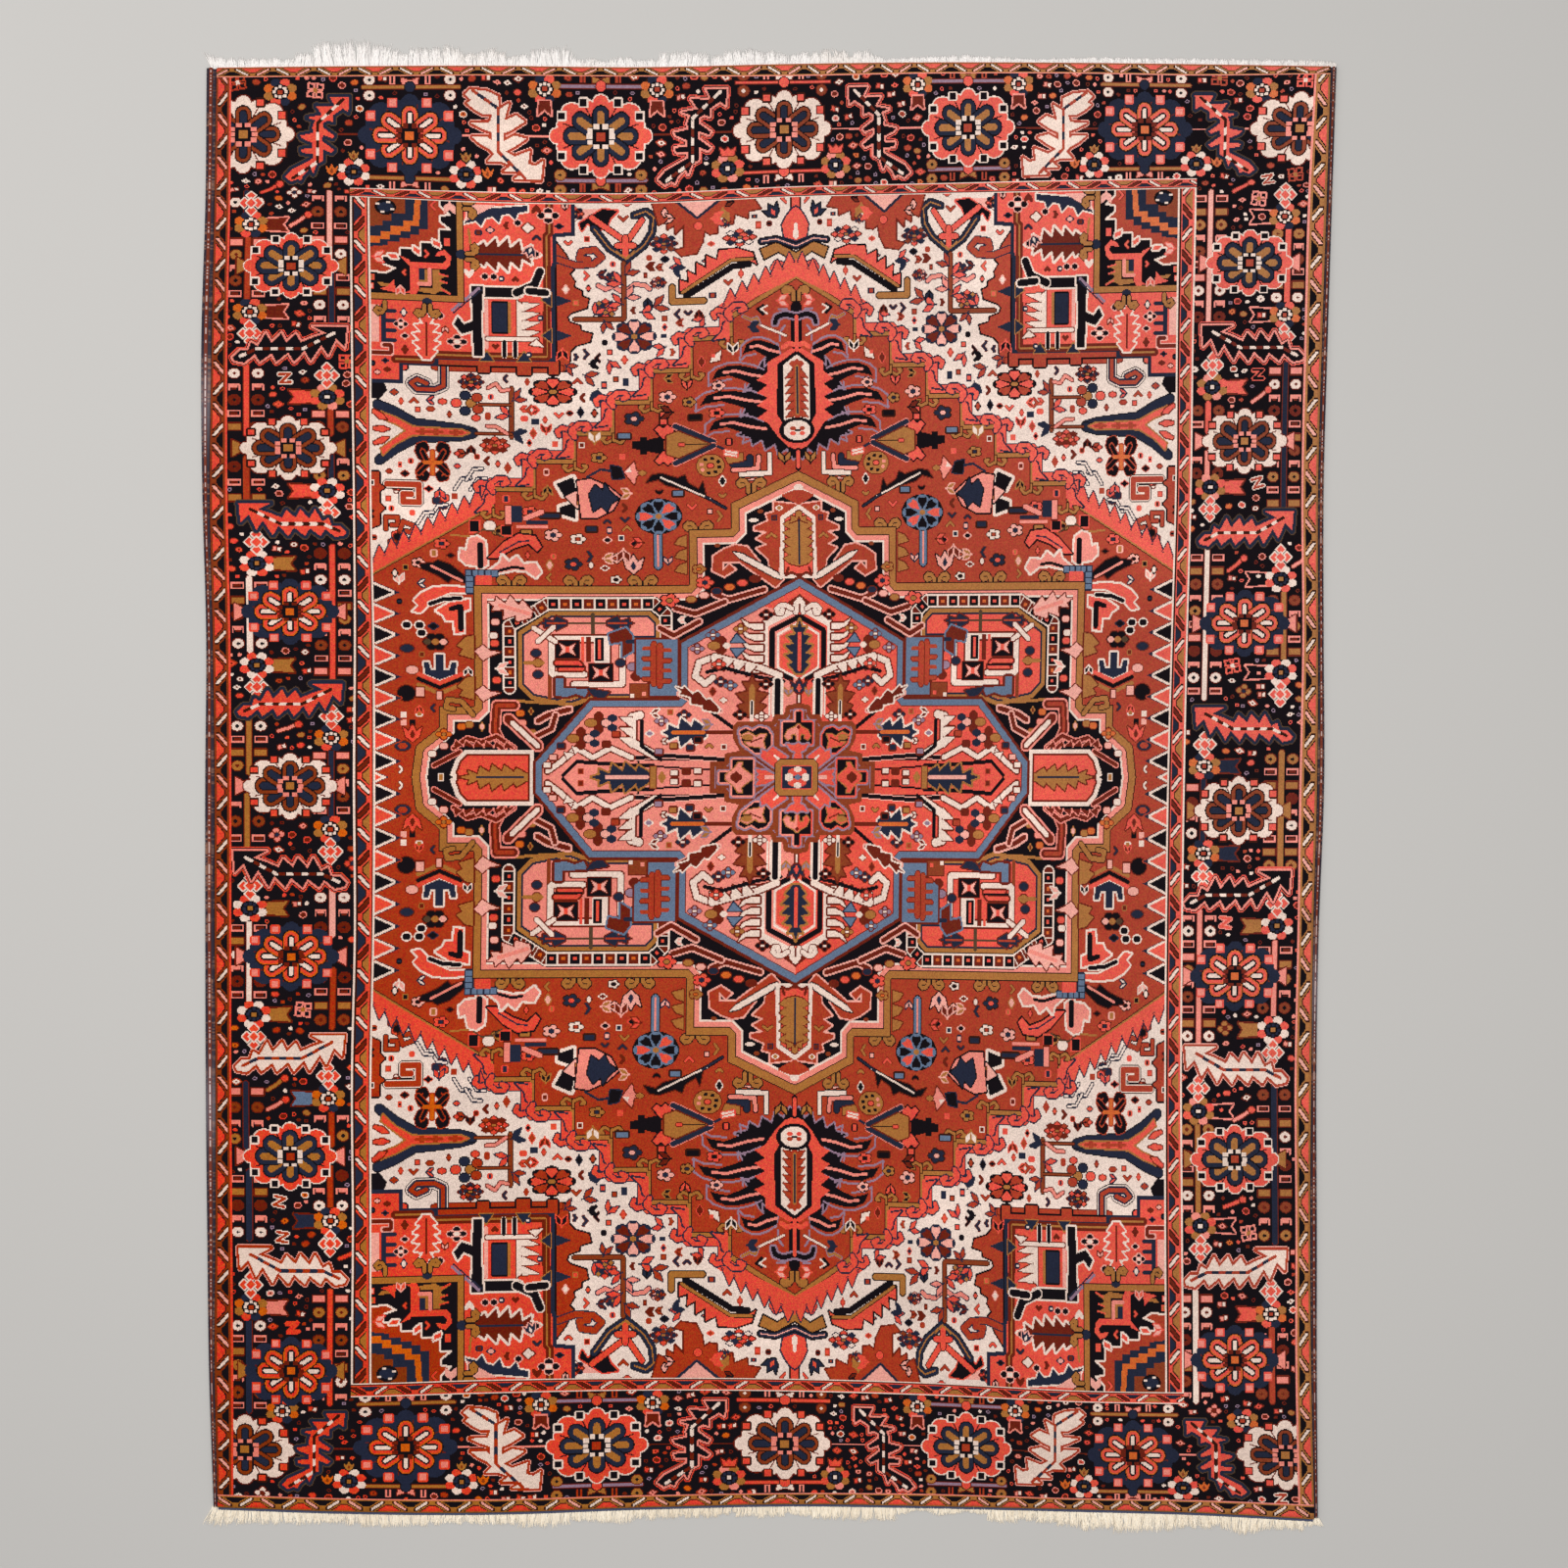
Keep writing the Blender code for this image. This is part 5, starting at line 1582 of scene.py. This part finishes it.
def makeSelvedge(side, material):
    size = selvedge
    dice = np.random.default_rng(size["seed"][side])
    rings = round(size["length"] / size["wrap"] * size["ringsPerWrap"])
    pileEdge = 0.0 if side == "left" else float(knotsAcross)
    innerX, yPixel = pixelOf(np.full(rings, pileEdge), np.linspace(0, knotsDown, rings))
    outerX = rounded(yPixel, stationY, size[side])
    worn = sum(np.exp(-((yPixel - at) / size["rubbedSpread"]) ** 2) for at in size["rubbed"][side])
    spots, quads, maroon = [], [], []
    for near, far, isMaroon in size["cords"]:
        half = np.abs(outerX - innerX) * shot["pixel"] * (far - near) / 2
        x, y = planOf(innerX + (outerX - innerX) * (near + far) / 2, yPixel)
        wrap = np.arange(rings) % size["ringsPerWrap"]
        swell = np.where(wrap == 0, 1.0, 1 - size["groove"]) * dice.uniform(*size["uneven"], rings)
        upward = size["height"] / 2 * swell * (1.0 if isMaroon else size["navyHeight"])
        centre = np.stack([x, y, np.full(rings, size["height"] / 2)], -1)
        cordSpots, cordQuads = tube(centre, half * swell * size["overlap"], upward, size["sides"])
        slant = np.sin(np.arange(size["sides"]) * 2 * math.pi / size["sides"]) * size["wrap"] * size["slant"]
        cordSpots[:, 1] += np.tile(slant, rings) * (1 if isMaroon else -1)
        quads.append(cordQuads + sum(len(s) for s in spots))
        spots.append(cordSpots)
        maroon.append(np.full(len(cordSpots), float(isMaroon)))
    spots, quads = np.vstack(spots), np.vstack(quads)
    solid = "selvedge_" + side
    low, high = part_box(solid)
    spots[:, 1] = np.clip(spots[:, 1], low[1], high[1])
    piece = meshPiece(solid + "_cords", spots, quads, material, solid)
    keepOnPoints(piece, "maroon", np.concatenate(maroon))
    keepOnPoints(piece, "rubbed", np.tile(np.repeat(worn, size["sides"]), len(size["cords"])))
    ring = (np.arange(len(spots)) // size["sides"] % rings) / size["ringsPerWrap"]
    around = np.arange(len(spots)) % size["sides"] / size["sides"]
    keepOnCorners(piece, "wraps", np.stack([ring, around], -1), quads)
    print("selvedge overcast:", side, len(quads) * 2, "triangles")
    return piece


# Each end's woven line: light and dark wool, half width, and how far outwards it lies in photo pixels.
endLine = dict(top=("d96a58", "b03a2c", 0.0017, -0.4), bottom=("5c6278", "3a3d54", 0.0042, 1.6),
               length=3.0, step=0.0042, height=0.0052, inset=0.5, groove=0.12, sides=8)


def makeEndLine(end):  # a flat cord of weft between the pile and the fringe
    size = endLine
    light, dark, half, offset = size[end]
    rings = round(size["length"] / size["step"])
    row = 0.0 if end == "top" else float(knotsDown)
    x, y = metresOf(np.linspace(size["inset"], knotsAcross - size["inset"], rings), np.full(rings, row))
    centre = np.stack([x, y - offset * shot["pixel"], np.full(rings, size["height"] / 2)], -1)
    swell = np.where(np.arange(rings) % 2 == 0, 1.0, 1 - size["groove"])
    spots, quads = tube(centre, half * swell, size["height"] / 2 * swell, size["sides"])
    look = Look("end_weave_" + end, Roughness=0.9, Specular_IOR_Level=0.15)
    strands = look.noise(look.stretched(look.place(), (1.0, 0.15, 1.0)), 420.0)
    material = look.finish(Base_Color=look.mix(strands, linear(light), linear(dark)),
                           Normal=look.bump(0.6, 0.0005, strands))
    return meshPiece("end_line_" + end, spots, quads, material, "rug_body")


endLines = [makeEndLine(end) for end in ("top", "bottom")]
selvedgeWool = selvedgeMaterial()
selvedges = [makeSelvedge(side, selvedgeWool) for side in ("left", "right")]

# The fringe: warp ends along each end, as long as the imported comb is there.
fringe = dict(
    width=3.0, pitch=0.0012, layers=(0.0010, 0.0018, 0.0026), thickness=0.0021, joints=4, sides=4,
    lock=0.0145, lockLength=0.09, lockLean=0.12,  # strands cling together in locks
    usual=0.98, ragged=(0.76, 1.06, 1.14), shortest=0.009, tooth=0.009,
    lean=0.13, curl=0.0024, past=5, tuftWidth=0.03, tuftLean=0.35,  # the last tufts spread outwards
    tucked=0.002, lift=0.0016, liftFrom=0.012, taper=0.5, uneven=(0.8, 1.1), seed=dict(top=31, bottom=32))


def fringeMaterial():
    look = Look("fringe_cotton", Sheen_Weight=0.15, Sheen_Roughness=0.5, Specular_IOR_Level=0.2)
    place = look.place()
    soil = look.noise(place, 3.0, 4.0)
    fibre = look.noise(place, 1400.0, 2.0)
    tint = look.stored("strand") * 0.7 + soil * 0.3
    white = look.mix(tint, linear("f9f5f1"), linear("e6dfdb"))
    creamier = look.mix(tint, linear("fff6e6"), linear("eddcc2"))
    lower = look.spread(look.node("ShaderNodeSeparateXYZ", inputs=(place,), output="Y"), 1.0, -1.0)
    colour = look.mix(lower, white, creamier)  # the bottom end is creamier than the top
    colour = look.mix(look.spread(soil, 0.52, 0.72, (0.0, 0.3)), colour, linear("dcc9b0"))
    bump = look.bump(0.5, 0.0004, fibre)
    return look.finish(Base_Color=colour, Roughness=0.85 + (fibre - 0.5) * 0.1, Normal=bump)


def combReach(end, face, rootX, rootY):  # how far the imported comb's teeth reach past the weave at each strand
    corners = np.array([v.co[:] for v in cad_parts["fringe_" + end].data.vertices])
    corners = corners[np.argsort(corners[:, 0])]
    tips = corners[(corners[:, 1] - np.interp(corners[:, 0], rootX, rootY)) * face > 0.004]
    reach = (np.interp(rootX, tips[:, 0], tips[:, 1]) - rootY) * face
    near = round(fringe["tooth"] / fringe["pitch"] * 2)
    return np.lib.stride_tricks.sliding_window_view(np.pad(reach, near, mode="edge"), 2 * near + 1).max(1)


def makeFringe(end, material):
    size = fringe
    face, row = (1, 0.0) if end == "top" else (-1, float(knotsDown))
    dice = np.random.default_rng(size["seed"][end])
    count = int(size["width"] / size["pitch"]) * 2
    u = np.linspace(-size["past"], knotsAcross + size["past"], count) + dice.uniform(-0.3, 0.3, count)
    inner = np.clip(u, 0, knotsAcross)
    rootX, rootY = metresOf(inner, np.full(count, row))
    rootX += (u - inner) * shot["pixel"]
    lock = np.sin(rootX / size["lock"] * math.pi + np.sin(rootX * 31) * 2)
    ragged = size["usual"] + size["lockLength"] * lock * np.abs(lock)
    ragged = ragged * dice.triangular(*size["ragged"], count)
    length = np.maximum(combReach(end, face, rootX, rootY) * ragged, size["shortest"])
    tuft = np.exp(-(rootX - rootX[0]) / size["tuftWidth"]) - np.exp(-(rootX[-1] - rootX) / size["tuftWidth"])
    lean = size["lean"] * (np.sin(rootX * 23) + dice.normal(0, 1.0, count))
    lean += size["lockLean"] * np.cos(rootX / size["lock"] * math.pi)
    lean -= tuft * size["tuftLean"]
    curl = size["curl"] * dice.normal(0, 1, (count, 2))
    layer = np.array(size["layers"])[dice.integers(0, len(size["layers"]), count)]
    lean, length = lean[:, None], length[:, None]
    t = np.linspace(0, 1, size["joints"] + 1)
    pathX = rootX[:, None] + lean * length * t + curl[:, :1] * np.sin(t * 4 + lean * 9) * t
    pathY = rootY[:, None] + face * (length * t - size["tucked"]) + curl[:, 1:] * np.sin(t * 3) * t * 0.5
    lift = size["lift"] * np.abs(np.sin(t * 3.1)) * dice.uniform(0, 1, (count, 1))
    pathZ = layer[:, None] + lift * (length > size["liftFrom"])
    radius = size["thickness"] / 2 * (1 - size["taper"] * t ** 3) * dice.uniform(*size["uneven"], (count, 1))
    turns = np.arange(size["sides"]) * 2 * math.pi / size["sides"] + 0.4
    ringX = pathX[:, :, None] + radius[:, :, None] * np.cos(turns)
    ringZ = np.maximum(pathZ[:, :, None] + radius[:, :, None] * np.sin(turns), clear)
    spots = np.stack([ringX, np.broadcast_to(pathY[:, :, None], ringX.shape), ringZ], -1).reshape(-1, 3)
    index = np.arange(len(spots)).reshape(count, len(t), size["sides"])
    after = np.roll(index, -1, 2)
    quads = np.stack([index[:, :-1], after[:, :-1], after[:, 1:], index[:, 1:]], -1).reshape(-1, 4)
    tip = index[:, -1].reshape(-1, 4)
    quads = np.vstack([quads[:, ::-1], tip] if face > 0 else [quads, tip[:, ::-1]])
    piece = meshPiece(f"fringe_{end}_strands", spots, quads, material, "fringe_" + end)
    keepOnPoints(piece, "strand", np.repeat(dice.uniform(0, 1, count), len(t) * size["sides"]))
    print("fringe knotted:", end, len(quads) * 2, "triangles")
    return piece


fringeCotton = fringeMaterial()
fringes = [makeFringe(end, fringeCotton) for end in ("top", "bottom")]
